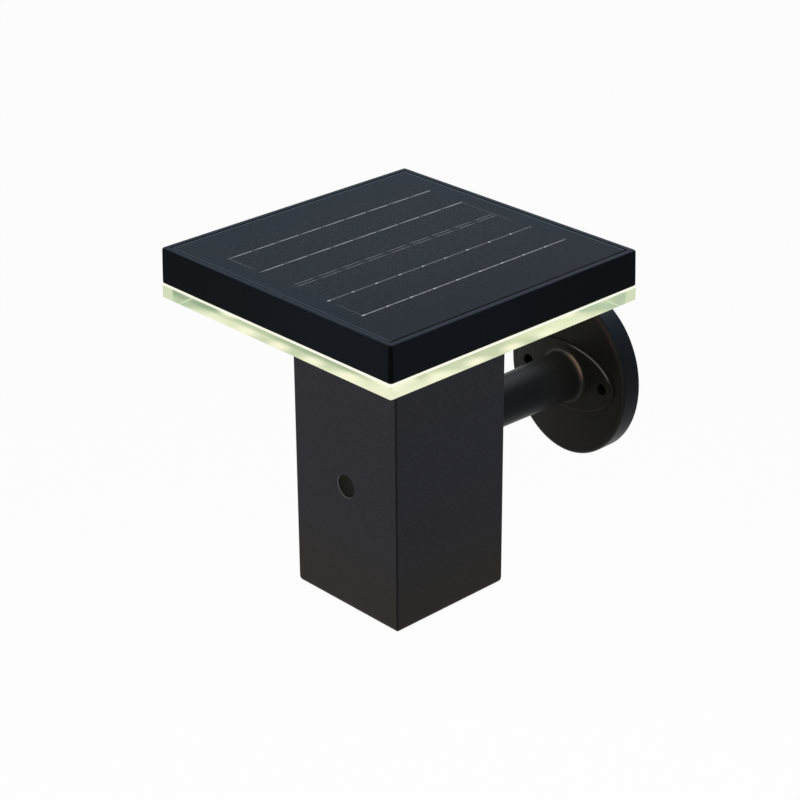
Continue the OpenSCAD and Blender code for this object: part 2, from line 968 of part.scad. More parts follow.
module led_wires() {
    run_z = arm_drop + led_board_z;
    board_edge_y = -(led_line - led_board_w / 2);
    color("#c9b37a")
        wire_pair(connector_pitch)
            translate([0, post_y, 0]) {
                translate([0, board_edge_y, run_z])
                    rotate([-90, 0, 0])
                        cylinder(r = wire_r, h = wire_y - wire_bend_r - board_edge_y);
                translate([0, wire_y - wire_bend_r, run_z - wire_bend_r])
                    rotate([90, 0, 90])
                        rotate_extrude(angle = 90)
                            translate([wire_bend_r, 0])
                                circle(r = wire_r);
                translate([0, wire_y, connector_top_z])
                    cylinder(r = wire_r, h = run_z - wire_bend_r - connector_top_z);
            }
}

module battery_wires() {
    start_z = post_top_z + floor_z + tray_wall + battery_l + 2 * contact_t;
    turn_z = connector_top_z + wire_turn_rise;
    turn_r = (battery_y - wire_y) / 2;
    color("#8e1f1c")
        wire_pair(0)
            translate([0, post_y, 0]) {
                translate([0, battery_y, start_z])
                    cylinder(r = wire_r, h = turn_z - start_z);
                translate([0, wire_y + turn_r, turn_z])
                    rotate([90, 0, 90])
                        rotate_extrude(angle = 180)
                            translate([turn_r, 0])
                                circle(r = wire_r);
                translate([0, wire_y, connector_top_z])
                    cylinder(r = wire_r, h = wire_turn_rise);
            }
}

// Arm and wall plate

module arm_screws() {
    head_z = arm_l + post_wall + washer_t;
    shank_l = washer_t + post_wall + arm_seal_t + arm_grip;
    color("#9ea1a4")
        from_wall()
            at_arm_screws()
                translate([0, 0, head_z])
                    screw(arm_screw_r, shank_l, arm_head_r, arm_head_t);
}

module arm_washers() {
    color("#b3b5b7")
        from_wall()
            at_arm_screws()
                translate([0, 0, arm_l + post_wall])
                    difference() {
                        cylinder(r = washer_r, h = washer_t);
                        translate([0, 0, -cut])
                            cylinder(r = arm_screw_r + hole_fit, h = washer_t + 2 * cut);
                    }
}

module arm_seal() {
    color("#1b1b1c")
        from_wall()
            translate([0, 0, arm_end_z])
                difference() {
                    cylinder(r = arm_end_r, h = arm_seal_t);
                    at_arm_screws()
                        translate([0, 0, -cut])
                            cylinder(r = arm_screw_r + hole_fit, h = arm_seal_t + 2 * cut);
                }
}

module plate_block() {
    hull()
        for (i = [0 : round_steps]) {
            turn = 90 * i / round_steps;
            inset = plate_edge_r * (1 - cos(turn));
            translate([0, 0, i == 0 ? 0 : plate_t - plate_edge_r * (1 - sin(turn)) - slice_t])
                linear_extrude(height = i == 0 ? plate_t - plate_edge_r : slice_t)
                    oval(plate_w - 2 * inset, plate_h - 2 * inset);
        }
}

module plate_hollow() {
    hollow_h = plate_t - plate_front_t;
    difference() {
        translate([0, 0, -cut])
            linear_extrude(height = hollow_h + cut)
                oval(plate_w - 2 * plate_rim, plate_h - 2 * plate_rim);
        translate([0, 0, -2 * cut])
            cylinder(r = arm_root_r, h = plate_t);
        for (side = [-1, 1])
            translate([side * wall_hole_spacing / 2, 0, -2 * cut])
                cylinder(r = wall_boss_r, h = plate_t);
        translate([-plate_w / 2, -rib_t / 2, -2 * cut])
            cube([plate_w, rib_t, plate_t]);
        translate([-rib_t / 2, -plate_h / 2, -2 * cut])
            cube([rib_t, plate_h, plate_t]);
    }
}

function flare_points() = concat(
    [[0, 0]],
    [for (i = [0 : round_steps])
        let (turn = 90 * i / round_steps)
        [arm_root_r + flare_w * (1 - sin(turn)), flare_l * (1 - cos(turn))]],
    [[0, flare_l]]
);

module wall_bracket() {
    hole_top_z = plate_t + pad_t;
    color("#2f2d2c")
        from_wall()
            difference() {
                union() {
                    difference() {
                        plate_block();
                        plate_hollow();
                    }
                    translate([0, 0, plate_t - plate_front_t / 2])
                        linear_extrude(height = pad_t + plate_front_t / 2)
                            oval(pad_w, pad_h);
                    translate([0, 0, hole_top_z])
                        rotate_extrude()
                            polygon(flare_points());
                    translate([0, 0, plate_t / 2])
                        cylinder(r = arm_root_r, h = arm_start_z - plate_t / 2);
                    translate([0, 0, arm_start_z])
                        cylinder(r1 = arm_root_r, r2 = arm_end_r, h = arm_end_z - arm_start_z);
                }
                translate([0, 0, -cut])
                    cylinder(r = arm_core_r, h = arm_end_z - arm_solid_l + cut);
                for (side = [-1, 1])
                    translate([side * wall_hole_spacing / 2, 0, 0]) {
                        translate([0, 0, -cut])
                            cylinder(r = wall_hole_r, h = hole_top_z + 2 * cut);
                        translate([0, 0, hole_top_z - wall_hole_bevel])
                            cylinder(
                                r1 = wall_hole_r,
                                r2 = wall_hole_r + wall_hole_bevel,
                                h = wall_hole_bevel
                            );
                    }
                at_arm_screws()
                    translate([0, 0, arm_end_z - arm_tap_l])
                        cylinder(r = arm_screw_r + thread_fit, h = arm_tap_l + cut);
            }
}

panel_glazing();
panel_film();
cell_busbars();
solar_cells();
panel_backing();
panel_tape();
head_casing();
casing_screws();
head_base();
cable_grommet();
led_board();
leds();
reflector_sheet();
light_guide();
base_screws();
post_seal();
post_housing();
button_cap();
switch_plunger();
switch_body();
control_board();
board_components();
board_connectors();
board_screws();
battery_tray();
battery_cells();
battery_contacts();
battery_cap();
tray_screws();
panel_wires();
led_wires();
battery_wires();
arm_screws();
arm_washers();
arm_seal();
wall_bracket();
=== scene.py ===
# %% [markdown]
# # A solar fence light
# The lamp is a flat square head with a solar panel on top and a lit acrylic plate under it. The head
# sits on a square post, and a short round arm holds the post off the wall. Its construction comes
# packed from the CAD model, and this script gives it its surfaces. The pieces that show are modelled
# again with finer edges, and every other piece keeps its shape and gets its real finish.

import math

import bmesh
import bpy
from mathutils import Matrix, Vector


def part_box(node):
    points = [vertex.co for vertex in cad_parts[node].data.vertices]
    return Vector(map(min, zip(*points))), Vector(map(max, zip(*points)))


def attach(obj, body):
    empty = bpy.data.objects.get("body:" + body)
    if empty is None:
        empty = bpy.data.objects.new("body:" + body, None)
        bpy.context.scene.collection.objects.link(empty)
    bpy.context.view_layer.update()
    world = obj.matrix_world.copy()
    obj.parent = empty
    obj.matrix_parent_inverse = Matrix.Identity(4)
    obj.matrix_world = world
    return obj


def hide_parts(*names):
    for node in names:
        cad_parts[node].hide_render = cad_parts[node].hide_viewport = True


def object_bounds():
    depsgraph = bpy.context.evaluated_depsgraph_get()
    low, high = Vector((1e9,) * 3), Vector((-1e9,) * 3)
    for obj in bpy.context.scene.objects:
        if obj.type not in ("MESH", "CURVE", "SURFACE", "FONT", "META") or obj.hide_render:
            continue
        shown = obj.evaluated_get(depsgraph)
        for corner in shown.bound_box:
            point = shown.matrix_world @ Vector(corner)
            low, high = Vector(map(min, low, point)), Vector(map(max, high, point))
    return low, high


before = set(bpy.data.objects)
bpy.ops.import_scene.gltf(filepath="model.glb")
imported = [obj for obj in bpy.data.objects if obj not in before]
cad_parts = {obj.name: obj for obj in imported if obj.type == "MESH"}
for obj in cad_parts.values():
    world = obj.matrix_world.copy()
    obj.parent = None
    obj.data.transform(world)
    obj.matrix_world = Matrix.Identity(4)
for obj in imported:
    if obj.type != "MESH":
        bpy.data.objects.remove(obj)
cad_low, cad_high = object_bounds()
print("CAD box from", tuple(cad_low), "to", tuple(cad_high))

# %% [markdown]
# ## The camera
# A product photo of this kind is taken with a long lens from a little above, so that the upright
# edges stay nearly parallel. The camera stands to the right of the lamp's front and looks down by
# about 26 degrees. Its place is given as a direction and a distance from the middle of the head's
# underside, because that point is easy to find on the model.

# %% Camera
MM = 0.001
CAMERA_AZIMUTH = math.radians(46.821)
CAMERA_ELEVATION = math.radians(25.652)
CAMERA_ROLL = math.radians(-0.385)
CAMERA_DISTANCE = 1011.242 * MM
CAMERA_RIGHT = 0.696 * MM
CAMERA_UP = -51.727 * MM
CAMERA_LENS = 102.13

casing_low, casing_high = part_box("head_casing")
head_centre = Vector((
    (casing_low.x + casing_high.x) / 2, (casing_low.y + casing_high.y) / 2, casing_low.z
))


def new_object(name, data):
    """A new object in the scene."""
    made = bpy.data.objects.new(name, data)
    bpy.context.scene.collection.objects.link(made)
    return made


def make_camera():
    """The studio camera, aimed as in the photograph."""
    flat = math.cos(CAMERA_ELEVATION)
    level = Vector((math.cos(CAMERA_AZIMUTH), math.sin(CAMERA_AZIMUTH), 0))
    back = Vector((
        math.sin(CAMERA_AZIMUTH) * flat, -math.cos(CAMERA_AZIMUTH) * flat, math.sin(CAMERA_ELEVATION)
    ))
    rise = back.cross(level)
    right = level * math.cos(CAMERA_ROLL) + rise * math.sin(CAMERA_ROLL)
    up = rise * math.cos(CAMERA_ROLL) - level * math.sin(CAMERA_ROLL)
    data = bpy.data.cameras.new("studio_camera")
    data.lens = CAMERA_LENS
    data.clip_start = 0.01
    data.clip_end = 50
    camera = new_object("studio_camera", data)
    place = head_centre + right * CAMERA_RIGHT + up * CAMERA_UP + back * CAMERA_DISTANCE
    camera.matrix_world = Matrix.Translation(place) @ Matrix((right, up, back)).transposed().to_4x4()
    bpy.context.scene.camera = camera
    return camera


print("camera at", tuple(make_camera().location))

# %% [markdown]
# ## Small helpers for materials
# Colours are written as the hex values that a colour picker shows, and one function turns them into
# the linear values that Blender computes with. One more function adds a node, sets its properties,
# and fills its sockets with plain values or with links. The others are built from these two: noises
# of a real size, blends of two colours, and masks from 0 to 1.

# %% Helpers for materials
RISING = (0.0, 1.0)
FALLING = (1.0, 0.0)
MIDDLE_MM = (-1, 1)
NOISE_SPREAD = (0.3, 0.7)


def srgb(code):
    """A hex colour such as 2f3034 as linear red, green, blue and alpha."""
    parts = [int(code[i : i + 2], 16) / 255 for i in (0, 2, 4)]
    return [*(c / 12.92 if c <= 0.04045 else ((c + 0.055) / 1.055) ** 2.4 for c in parts), 1.0]


def new_tree(data):
    """Gives a material or a world an empty node tree."""
    data.use_nodes = True
    data.node_tree.nodes.clear()
    return data.node_tree


def add(tree, kind, sockets=None, **settings):
    """Adds a node with its settings; a socket takes a value, or the output that is linked to it."""
    node = tree.nodes.new(kind)
    for name, value in settings.items():
        setattr(node, name, value)
    for socket, value in (sockets or {}).items():
        if isinstance(value, bpy.types.NodeSocket):
            tree.links.new(value, node.inputs[socket])
        else:
            node.inputs[socket].default_value = value
    return node


def surface(name, colour, roughness, sockets=None):
    """A new material with one Principled shader; returns the material and the shader's node."""
    made = bpy.data.materials.new(name)
    tree = new_tree(made)
    given = {"Base Color": srgb(colour), "Roughness": roughness, **(sockets or {})}
    shader = add(tree, "ShaderNodeBsdfPrincipled", given)
    add(tree, "ShaderNodeOutputMaterial", {"Surface": shader.outputs[0]})
    return made, shader


def compute(tree, operation, *values):
    """One step of arithmetic with numbers or outputs."""
    return add(tree, "ShaderNodeMath", dict(enumerate(values)), operation=operation).outputs[0]


def compute_vector(tree, operation, *vectors):
    """One step of arithmetic with vectors; returns the node's outputs."""
    return add(tree, "ShaderNodeVectorMath", dict(enumerate(vectors)), operation=operation).outputs


def object_place(tree):
    """The place of a point in its piece's own coordinates."""
    return add(tree, "ShaderNodeTexCoord").outputs["Object"]


def parts_of(tree, vector):
    """The x, y and z of a vector, as outputs."""
    return add(tree, "ShaderNodeSeparateXYZ", {0: vector}).outputs


def noise_of(tree, size_mm, detail=2.0, stretch=(1, 1, 1)):
    """A noise whose spots have that real size, spread over the range from 0 to 1."""
    place = add(tree, "ShaderNodeMapping", {"Vector": object_place(tree), "Scale": stretch}).outputs[0]
    sockets = {"Vector": place, "Scale": 1 / (size_mm * MM), "Detail": detail, "Roughness": 0.6}
    noise = add(tree, "ShaderNodeTexNoise", sockets).outputs[0]
    sockets = {"Value": noise, "From Min": NOISE_SPREAD[0], "From Max": NOISE_SPREAD[1]}
    return add(tree, "ShaderNodeMapRange", sockets).outputs[0]


def two_tone(tree, factor, first, second, **how):
    """Goes from one colour to another with the factor; a colour is a hex code or an output."""
    pair = [srgb(colour) if isinstance(colour, str) else colour for colour in (first, second)]
    sockets = {0: factor, 6: pair[0], 7: pair[1]}
    return add(tree, "ShaderNodeMix", sockets, data_type="RGBA", **how).outputs[2]


def between(tree, value, low, high, ends=RISING):
    """Goes smoothly from one end to the other while a value goes from low to high."""
    limits = {"Value": value, "From Min": low, "From Max": high, "To Min": ends[0], "To Max": ends[1]}
    return add(tree, "ShaderNodeMapRange", limits, interpolation_type="SMOOTHSTEP").outputs[0]


def span(tree, value, limits_mm, ends=RISING):
    """The same for a length, with its limits in millimetres."""
    return between(tree, value, limits_mm[0] * MM, limits_mm[1] * MM, ends)


def all_of(tree, first, *others):
    """Is 1 only where every one of the masks is 1."""
    for mask in others:
        first = compute(tree, "MULTIPLY", first, mask)
    return first


def any_of(tree, first, *others):
    """The strongest of the masks, or the greatest of the lengths."""
    for mask in others:
        first = compute(tree, "MAXIMUM", first, mask)
    return first


def band_of(tree, value, rise, fall, unit=MM):
    """Is 1 on a band whose two soft borders are given in that unit."""
    first = between(tree, value, rise[0] * unit, rise[1] * unit)
    return all_of(tree, first, between(tree, value, fall[0] * unit, fall[1] * unit, FALLING))


def on_line(tree, value, place_mm, width_mm):
    """Is 1 on a line of that width at that place."""
    return compute(tree, "COMPARE", value, place_mm * MM, width_mm / 2 * MM)


def ramp(tree, value, stops_mm):
    """A colour that follows a table of places in millimetres and hex codes."""
    start, end = stops_mm[0][0], stops_mm[-1][0]
    sockets = {"Value": value, "From Min": start * MM, "From Max": end * MM}
    node = add(tree, "ShaderNodeValToRGB", {0: add(tree, "ShaderNodeMapRange", sockets).outputs[0]})
    stops = node.color_ramp.elements
    while len(stops) < len(stops_mm):
        stops.new(0.5)
    for stop, (place, colour) in zip(stops, stops_mm):
        stop.position = (place - start) / (end - start)
        stop.color = srgb(colour)
    return node.outputs[0]


def raise_by(tree, shader, height, depth_mm):
    """Lets the light see a height pattern of that real depth."""
    bump = add(tree, "ShaderNodeBump", {"Height": height, "Strength": 1.0, "Distance": depth_mm * MM})
    tree.links.new(bump.outputs[0], shader.inputs["Normal"])


def grain(made, size_mm, dark, light, depth_mm=0.0, gloss=None, detail=2.0, stretch=(1, 1, 1)):
    """Gives a finish its fine grain, in colour, gloss and height; returns the material."""
    made, shader = made
    tree = made.node_tree
    spots = noise_of(tree, size_mm, detail, stretch)
    tree.links.new(two_tone(tree, spots, dark, light), shader.inputs["Base Color"])
    if gloss:
        sockets = {"Value": spots, "To Min": gloss[0], "To Max": gloss[1]}
        spread = add(tree, "ShaderNodeMapRange", sockets)
        tree.links.new(spread.outputs[0], shader.inputs["Roughness"])
    if depth_mm:
        raise_by(tree, shader, spots, depth_mm)
    return made


def coated(made, shader, coat, spots, gloss, depth_mm):
    """Gives a finish its colour, gloss and height; returns the material."""
    tree = made.node_tree
    tree.links.new(coat, shader.inputs["Base Color"])
    tree.links.new(between(tree, spots, 0.0, 1.0, gloss), shader.inputs["Roughness"])
    raise_by(tree, shader, spots, depth_mm)
    return made


print("helpers for materials ready")

# %% [markdown]
# ## The studio
# The lamp hangs free in front of white, as in a catalogue. The floor lies far below it, so that it
# can also be seen from underneath. The floor and the world look white to the camera and in
# reflections, but they light the lamp only at a plain level: the Light Path node tells the two kinds
# of rays apart. A little of the floor's own shading stays, which keeps the shadow.

# %% Studio
FLOOR_LEVEL = -1.25
FLOOR_RADIUS = 9.0
FLOOR_SHADING = 0.04
WORLD_LIGHT = 0.32


def seen_directly(tree):
    """Is 1 for rays that show the background: from the camera, in reflections and through glass."""
    rays = add(tree, "ShaderNodeLightPath").outputs
    return any_of(tree, *(rays[f"Is {kind} Ray"] for kind in ("Camera", "Glossy", "Transmission")))


def white_world():
    """Air that looks white and lights the lamp a little from all around."""
    world = bpy.data.worlds.new("studio_air")
    bpy.context.scene.world = world
    tree = new_tree(world)
    sockets = {"Value": seen_directly(tree), "To Min": WORLD_LIGHT, "To Max": 1.0}
    strength = add(tree, "ShaderNodeMapRange", sockets).outputs[0]
    sky = add(tree, "ShaderNodeBackground", {"Color": srgb("ffffff"), "Strength": strength})
    add(tree, "ShaderNodeOutputWorld", {"Surface": sky.outputs[0]})


def white_floor():
    """A wide round floor that looks white and keeps a little of its own shading."""
    made = bpy.data.materials.new("painted_studio_floor")
    tree = new_tree(made)
    paint = add(tree, "ShaderNodeBsdfDiffuse", {"Color": srgb("f6f6f6")})
    glow = add(tree, "ShaderNodeEmission", {"Color": srgb("ffffff"), "Strength": 1.0})
    share = compute(tree, "MULTIPLY", seen_directly(tree), 1 - FLOOR_SHADING)
    both = add(tree, "ShaderNodeMixShader", {0: share, 1: paint.outputs[0], 2: glow.outputs[0]})
    add(tree, "ShaderNodeOutputMaterial", {"Surface": both.outputs[0]})
    mesh = bmesh.new()
    place = Matrix.Translation((0, 0, FLOOR_LEVEL))
    bmesh.ops.create_circle(mesh, cap_ends=True, segments=96, radius=FLOOR_RADIUS, matrix=place)
    data = bpy.data.meshes.new("studio_floor")
    mesh.to_mesh(data)
    mesh.free()
    data.materials.append(made)
    floor = new_object("studio_floor", data)


def softbox(name, direction, distance, size, strength, colour):
    """A square area light that faces the fence light's middle from a direction."""
    data = bpy.data.lights.new(name, "AREA")
    data.size = size
    data.energy = strength
    data.color = srgb(colour)[:3]
    lamp = new_object(name, data)
    middle = (cad_low + cad_high) / 2
    lamp.location = middle + Vector(direction).normalized() * distance
    lamp.rotation_euler = Vector(direction).to_track_quat("Z", "Y").to_euler()


white_world()
white_floor()
# Direction, distance and width in metres, power in watts, and colour
LAMPS = {
    "overhead_softbox": ((-0.1, 0.1, 1.0), 2.0, 1.0, 10, "fafbff"),
    "back_softbox": ((-0.15, 0.62, 0.68), 2.0, 1.5, 25, "f0f3ff"),
    "upper_lamp": ((0.3, -0.4, 0.85), 2.2, 0.3, 6, "ffe6d2"),
    "front_softbox": ((-0.4, -1.0, 0.2), 2.4, 1.2, 17, "fffdfa"),
    "right_fill": ((1.0, -0.3, 0.0), 2.6, 1.2, 8, "e8eeff"),
}
for name, values in LAMPS.items():
    softbox(name, *values)
bpy.context.scene.view_settings.view_transform = "Standard"
print("studio with", len(LAMPS), "lamps")

# %% [markdown]
# ## Small helpers for shapes
# Most pieces of this lamp are plates and cups with holes through them. So one helper draws a closed
# loop of edges, one draws it out into a wall, and one fills the flat face between loops. A wall of a
# hole is a loop that is drawn out a few times, and a chamfer is one more step with another size.

# %% Helpers for shapes
NEAR = 0.02 * MM
HAIR = 0.05 * MM


def ring(mesh, centre, radius, sides=48):
    """A level round loop of edges."""
    place = Matrix.Translation(centre)
    made = bmesh.ops.create_circle(mesh, cap_ends=False, segments=sides, radius=radius, matrix=place)
    return list({edge for vert in made["verts"] for edge in vert.link_edges})


def square(mesh, centre, width, corner=0.0, segments=4):
    """A level square loop of edges, with its corners rounded to that radius."""
    place = Matrix.Translation(centre)
    made = bmesh.ops.create_grid(mesh, x_segments=1, y_segments=1, size=width / 2, matrix=place)
    if corner:
        made = bmesh.ops.bevel(
            mesh, geom=made["verts"], offset=corner, segments=segments,
            profile=0.5, affect="VERTICES", material=-1,
        )
    face = made["verts"][0].link_faces[0]
    edges = list(face.edges)
    bmesh.ops.delete(mesh, geom=[face], context="FACES_ONLY")
    return edges


def draw_out(mesh, edges, shift=(0, 0, 0), grow=1.0, about=None):
    """Extrudes a loop of edges, moves and scales the new loop, and returns its edges."""
    made = bmesh.ops.extrude_edge_only(mesh, edges=edges)["geom"]
    verts = {item for item in made if isinstance(item, bmesh.types.BMVert)}
    bmesh.ops.translate(mesh, vec=shift, verts=list(verts))
    if grow != 1.0:
        space = Matrix.Translation(-(Vector(about) + Vector(shift)))
        bmesh.ops.scale(mesh, vec=(grow, grow, grow), space=space, verts=list(verts))
    return [item for item in made if isinstance(item, bmesh.types.BMEdge) and set(item.verts) <= verts]


def fill(mesh, *loops):
    """Closes the flat face between an outer loop and the loops of its holes."""
    edges = [edge for loop in loops for edge in loop]
    made = bmesh.ops.triangle_fill(mesh, use_beauty=True, use_dissolve=False, edges=edges)
    return [item for item in made["geom"] if isinstance(item, bmesh.types.BMFace)]


def round_edges(mesh, edges, radius, segments):
    """Rounds edges to a radius."""
    bmesh.ops.bevel(
        mesh, geom=edges, offset=radius, offset_type="OFFSET", segments=segments,
        profile=0.5, affect="EDGES", material=-1,
    )


def edges_where(mesh, test):
    """The edges whose two ends both pass the test."""
    return [edge for edge in mesh.edges if all(test(vert.co) for vert in edge.verts)]


def upright_edges(mesh):
    """The edges whose two ends lie at different heights."""
    return [edge for edge in mesh.edges if abs(edge.verts[0].co.z - edge.verts[1].co.z) > NEAR]


def four_spots(middle, reach):
    """Four places around a middle, each that far from it along x and along y."""
    return [middle + Vector((x * reach, y * reach, 0)) for x in (-1, 1) for y in (-1, 1)]


def merged_copy(node):
    """A copy of a CAD node's mesh, merged to one skin of flat faces, ready for finer edges."""
    mesh = bmesh.new()
    mesh.from_mesh(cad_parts[node].data)
    bmesh.ops.remove_doubles(mesh, verts=mesh.verts, dist=0.002 * MM)
    bmesh.ops.dissolve_limit(mesh, angle_limit=math.radians(0.5), verts=mesh.verts, edges=mesh.edges)
    return mesh


def make_piece(mesh, name, body, finishes, stands_for):
    """Turns a bmesh into a finished piece that rides on a body and stands for CAD nodes."""
    bmesh.ops.recalc_face_normals(mesh, faces=mesh.faces)
    data = bpy.data.meshes.new(name)
    mesh.to_mesh(data)
    mesh.free()
    # A merged copy still has the CAD mesh's normals, which would hide the new rounded edges
    if "custom_normal" in data.attributes:
        data.attributes.remove(data.attributes["custom_normal"])
    data.shade_smooth()
    data.set_sharp_from_angle(angle=math.radians(35))
    for finish in finishes:
        data.materials.append(finish)
    piece = new_object(name, data)
    normals = piece.modifiers.new("even_normals", "WEIGHTED_NORMAL")
    normals.keep_sharp = True
    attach(piece, body)
    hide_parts(*stands_for)
    print(name, "has", len(data.polygons), "faces and stands for", ", ".join(stands_for))


print("helpers for shapes ready")

# %% [markdown]
# ## Black ABS for the casing
# The casing of the head is injection moulded from black ABS. A fine spark-eroded texture in the mould
# breaks up the gloss, so the plastic looks satin. Its cool tint is a painted reflection of the studio,
# and it is painted lighter toward the front corner. The lip around the panel has a painted highlight,
# and the upright corners are painted with shade.

# %% Moulded black ABS
# Depths are counted from the top of the casing, and the others from the head's middle planes
LIP_DEPTH_MM = (0.45, 0.12)
LIP_FLAT_MM = (72.0, 72.4)
LIP_INSIDE_MM = (72.4, 72.6)
LIP_WALL_MM = (1.0, 0.9)
CORNER_MM = (72.7, 73.9)
CASING_FADE_MM = (0, 140)


def from_head_middle(tree, shift=(0, 0, 0)):
    """Object coordinates counted from the middle of the casing's underside."""
    sockets = {"Vector": object_place(tree), "Location": -head_centre - Vector(shift)}
    return add(tree, "ShaderNodeMapping", sockets).outputs[0]


def folded_parts(tree, shift=(0, 0, 0)):
    """The distances from the head's middle planes, and the height over its underside."""
    return parts_of(tree, compute_vector(tree, "ABSOLUTE", from_head_middle(tree, shift))[0])


def past_middle(tree, value, ends=RISING):
    """Goes from one end to the other where a length passes zero."""
    return span(tree, value, MIDDLE_MM, ends)


def black_abs():
    """Black ABS with painted light: painted highlights on the lip's flat and its far inner edges, painted
    shade on the upright corners, and a painted lighter tone toward the front corner.
    """
    made, shader = surface("moulded_black_abs", "0d0f14", 0.42, {"Specular IOR Level": 0.012, "IOR": 1.53})
    tree = made.node_tree
    height = casing_high.z - casing_low.z
    x, y = parts_of(tree, from_head_middle(tree))[:2]
    across, along, up = folded_parts(tree)
    out = any_of(tree, across, along)
    toward_corner = compute(tree, "SUBTRACT", x, y)
    spots = noise_of(tree, 0.7)
    # Painted light: the bluish black is a painted reflection of the studio, painted lighter toward the
    # front corner
    fade = span(tree, toward_corner, CASING_FADE_MM)
    dark, light = two_tone(tree, fade, "090d11", "10151a"), two_tone(tree, fade, "0f1317", "181d23")
    coat = two_tone(tree, spots, dark, light)
    # Painted shade: the upright corners are painted deeper black
    corner = all_of(tree, *(span(tree, side, CORNER_MM) for side in (across, along)))
    coat = two_tone(tree, corner, coat, "070a0c")
    # A painted highlight on the lip's flat
    on_top = between(tree, up, height - LIP_DEPTH_MM[0] * MM, height - LIP_DEPTH_MM[1] * MM)
    coat = two_tone(tree, all_of(tree, on_top, span(tree, out, LIP_FLAT_MM)), coat, "2b323b")
    # A painted highlight on the inner edge of the lip, on the two sides away from the front corner
    inner = all_of(
        tree,
        span(tree, out, LIP_INSIDE_MM, FALLING),
        between(tree, up, height - LIP_WALL_MM[0] * MM, height - LIP_WALL_MM[1] * MM),
        past_middle(tree, toward_corner, FALLING),
    )
    return coated(made, shader, two_tone(tree, inner, coat, "2d353e"), spots, (0.36, 0.5), 0.006)


moulded_black_abs = black_abs()
print("made", moulded_black_abs.name)

# %% [markdown]
# ## The casing of the head
# The casing is a shallow square cap. Its sides lean in a little, so that it leaves its mould. The
# top has a recess for the solar panel with a narrow lip around it, and the hollow below holds the
# diodes. A cube is leaned in and rounded, and its top and bottom faces are then opened and filled
# again around the loops of the recess, the hollow and the screw holes.

# %% Head casing
HEAD_W = 150 * MM
HEAD_H = casing_high.z - casing_low.z
DRAFT = 0.35 * MM
RECESS_W = 143.3 * MM
RECESS_DEPTH = 3.05 * MM
TAPE_T = 0.5 * MM
HOLLOW_W = 145.2 * MM
HOLLOW_H = 10.95 * MM
CASING_SCREW_PLACE = 52 * MM
SCREW_HOLE_R = 2.05 * MM
SCREW_SINK_R = 3.6 * MM
SCREW_SINK_DEPTH = 1.9 * MM
WIRE_HOLE_R = 4.6 * MM
# Each rounding is a radius and the number of steps over it
CORNER_ROUNDING = (1.8 * MM, 6)
TOP_ROUNDING = (1.2 * MM, 5)
FOOT_ROUNDING = (0.8 * MM, 4)
INSIDE_ROUNDING = (0.5 * MM, 3)
LIP_ROUNDING = (0.22 * MM, 2)
grommet_low, grommet_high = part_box("cable_grommet")
grommet_middle = (grommet_low + grommet_high) / 2


def soft_cap():
    """The outside of the casing: a leaning block with rounded corners and edges."""
    mesh = bmesh.new()
    place = Matrix.Translation(head_centre + Vector((0, 0, HEAD_H / 2)))
    bmesh.ops.create_cube(mesh, size=1, matrix=place @ Matrix.Diagonal((HEAD_W, HEAD_W, HEAD_H, 1)))
    top = [vert for vert in mesh.verts if vert.co.z > head_centre.z + HEAD_H / 2]
    lean = 1 - 2 * DRAFT / HEAD_W
    bmesh.ops.scale(mesh, vec=(lean, lean, 1), space=Matrix.Translation(-head_centre), verts=top)
    round_edges(mesh, upright_edges(mesh), *CORNER_ROUNDING)
    round_edges(mesh, edges_where(mesh, lambda co: co.z > head_centre.z + HEAD_H - NEAR), *TOP_ROUNDING)
    round_edges(mesh, edges_where(mesh, lambda co: co.z < head_centre.z + NEAR), *FOOT_ROUNDING)
    return mesh


def open_face(mesh, height):
    """Takes out the big flat face at that height and returns the loop around it."""
    flat = [f for f in mesh.faces if all(abs(vert.co.z - height) < NEAR for vert in f.verts)]
    face = max(flat, key=lambda f: f.calc_area())
    edges = list(face.edges)
    bmesh.ops.delete(mesh, geom=[face], context="FACES_ONLY")
    return edges


def head_casing():
    """The casing, with its recess above, its hollow below and the holes between the two."""
    mesh = soft_cap()
    top_z, foot_z = casing_high.z, casing_low.z
    floor_z = top_z - RECESS_DEPTH - TAPE_T
    ceiling_z = foot_z + HOLLOW_H
    lip = open_face(mesh, top_z)
    recess = square(mesh, (head_centre.x, head_centre.y, top_z), RECESS_W, *INSIDE_ROUNDING)
    fill(mesh, lip, recess)
    recess_floor = draw_out(mesh, recess, (0, 0, floor_z - top_z))
    round_edges(mesh, recess, *LIP_ROUNDING)
    foot = open_face(mesh, foot_z)
    hollow = square(mesh, (head_centre.x, head_centre.y, foot_z), HOLLOW_W, *INSIDE_ROUNDING)
    fill(mesh, foot, hollow)
    ceiling = draw_out(mesh, hollow, (0, 0, HOLLOW_H))
    above, below = [], []
    sink_foot = Vector((0, 0, -SCREW_SINK_DEPTH))
    for spot in four_spots(Vector((head_centre.x, head_centre.y, floor_z)), CASING_SCREW_PLACE):
        sink = ring(mesh, spot, SCREW_SINK_R)
        seat = draw_out(mesh, sink, sink_foot)
        bore = draw_out(mesh, seat, (0, 0, 0), SCREW_HOLE_R / SCREW_SINK_R, spot + sink_foot)
        above.append(sink)
        below.append(draw_out(mesh, bore, (0, 0, ceiling_z - floor_z + SCREW_SINK_DEPTH)))
    wire_hole = ring(mesh, Vector((grommet_middle.x, grommet_middle.y, floor_z)), WIRE_HOLE_R)
    above.append(wire_hole)
    below.append(draw_out(mesh, wire_hole, (0, 0, ceiling_z - floor_z)))
    fill(mesh, recess_floor, *above)
    fill(mesh, ceiling, *below)
    make_piece(mesh, "casing_shell", "lamp", [moulded_black_abs], ["head_casing"])


head_casing()

# %% [markdown]
# ## The solar panel's finishes
# A small panel like this one is a laminate. Thin strips of silicon lie between a clear film and a
# glass-fibre board, and silver lines printed on them collect the current. The face is a sheet of
# frosted PET, which scatters light, so the panel looks slate grey and hides the cells almost wholly.
# Only the silver shows through. A half-clear sheet renders with strong grain, so the sheet is opaque
# here, and what shows through it is drawn on its face at the places where the lines really lie.

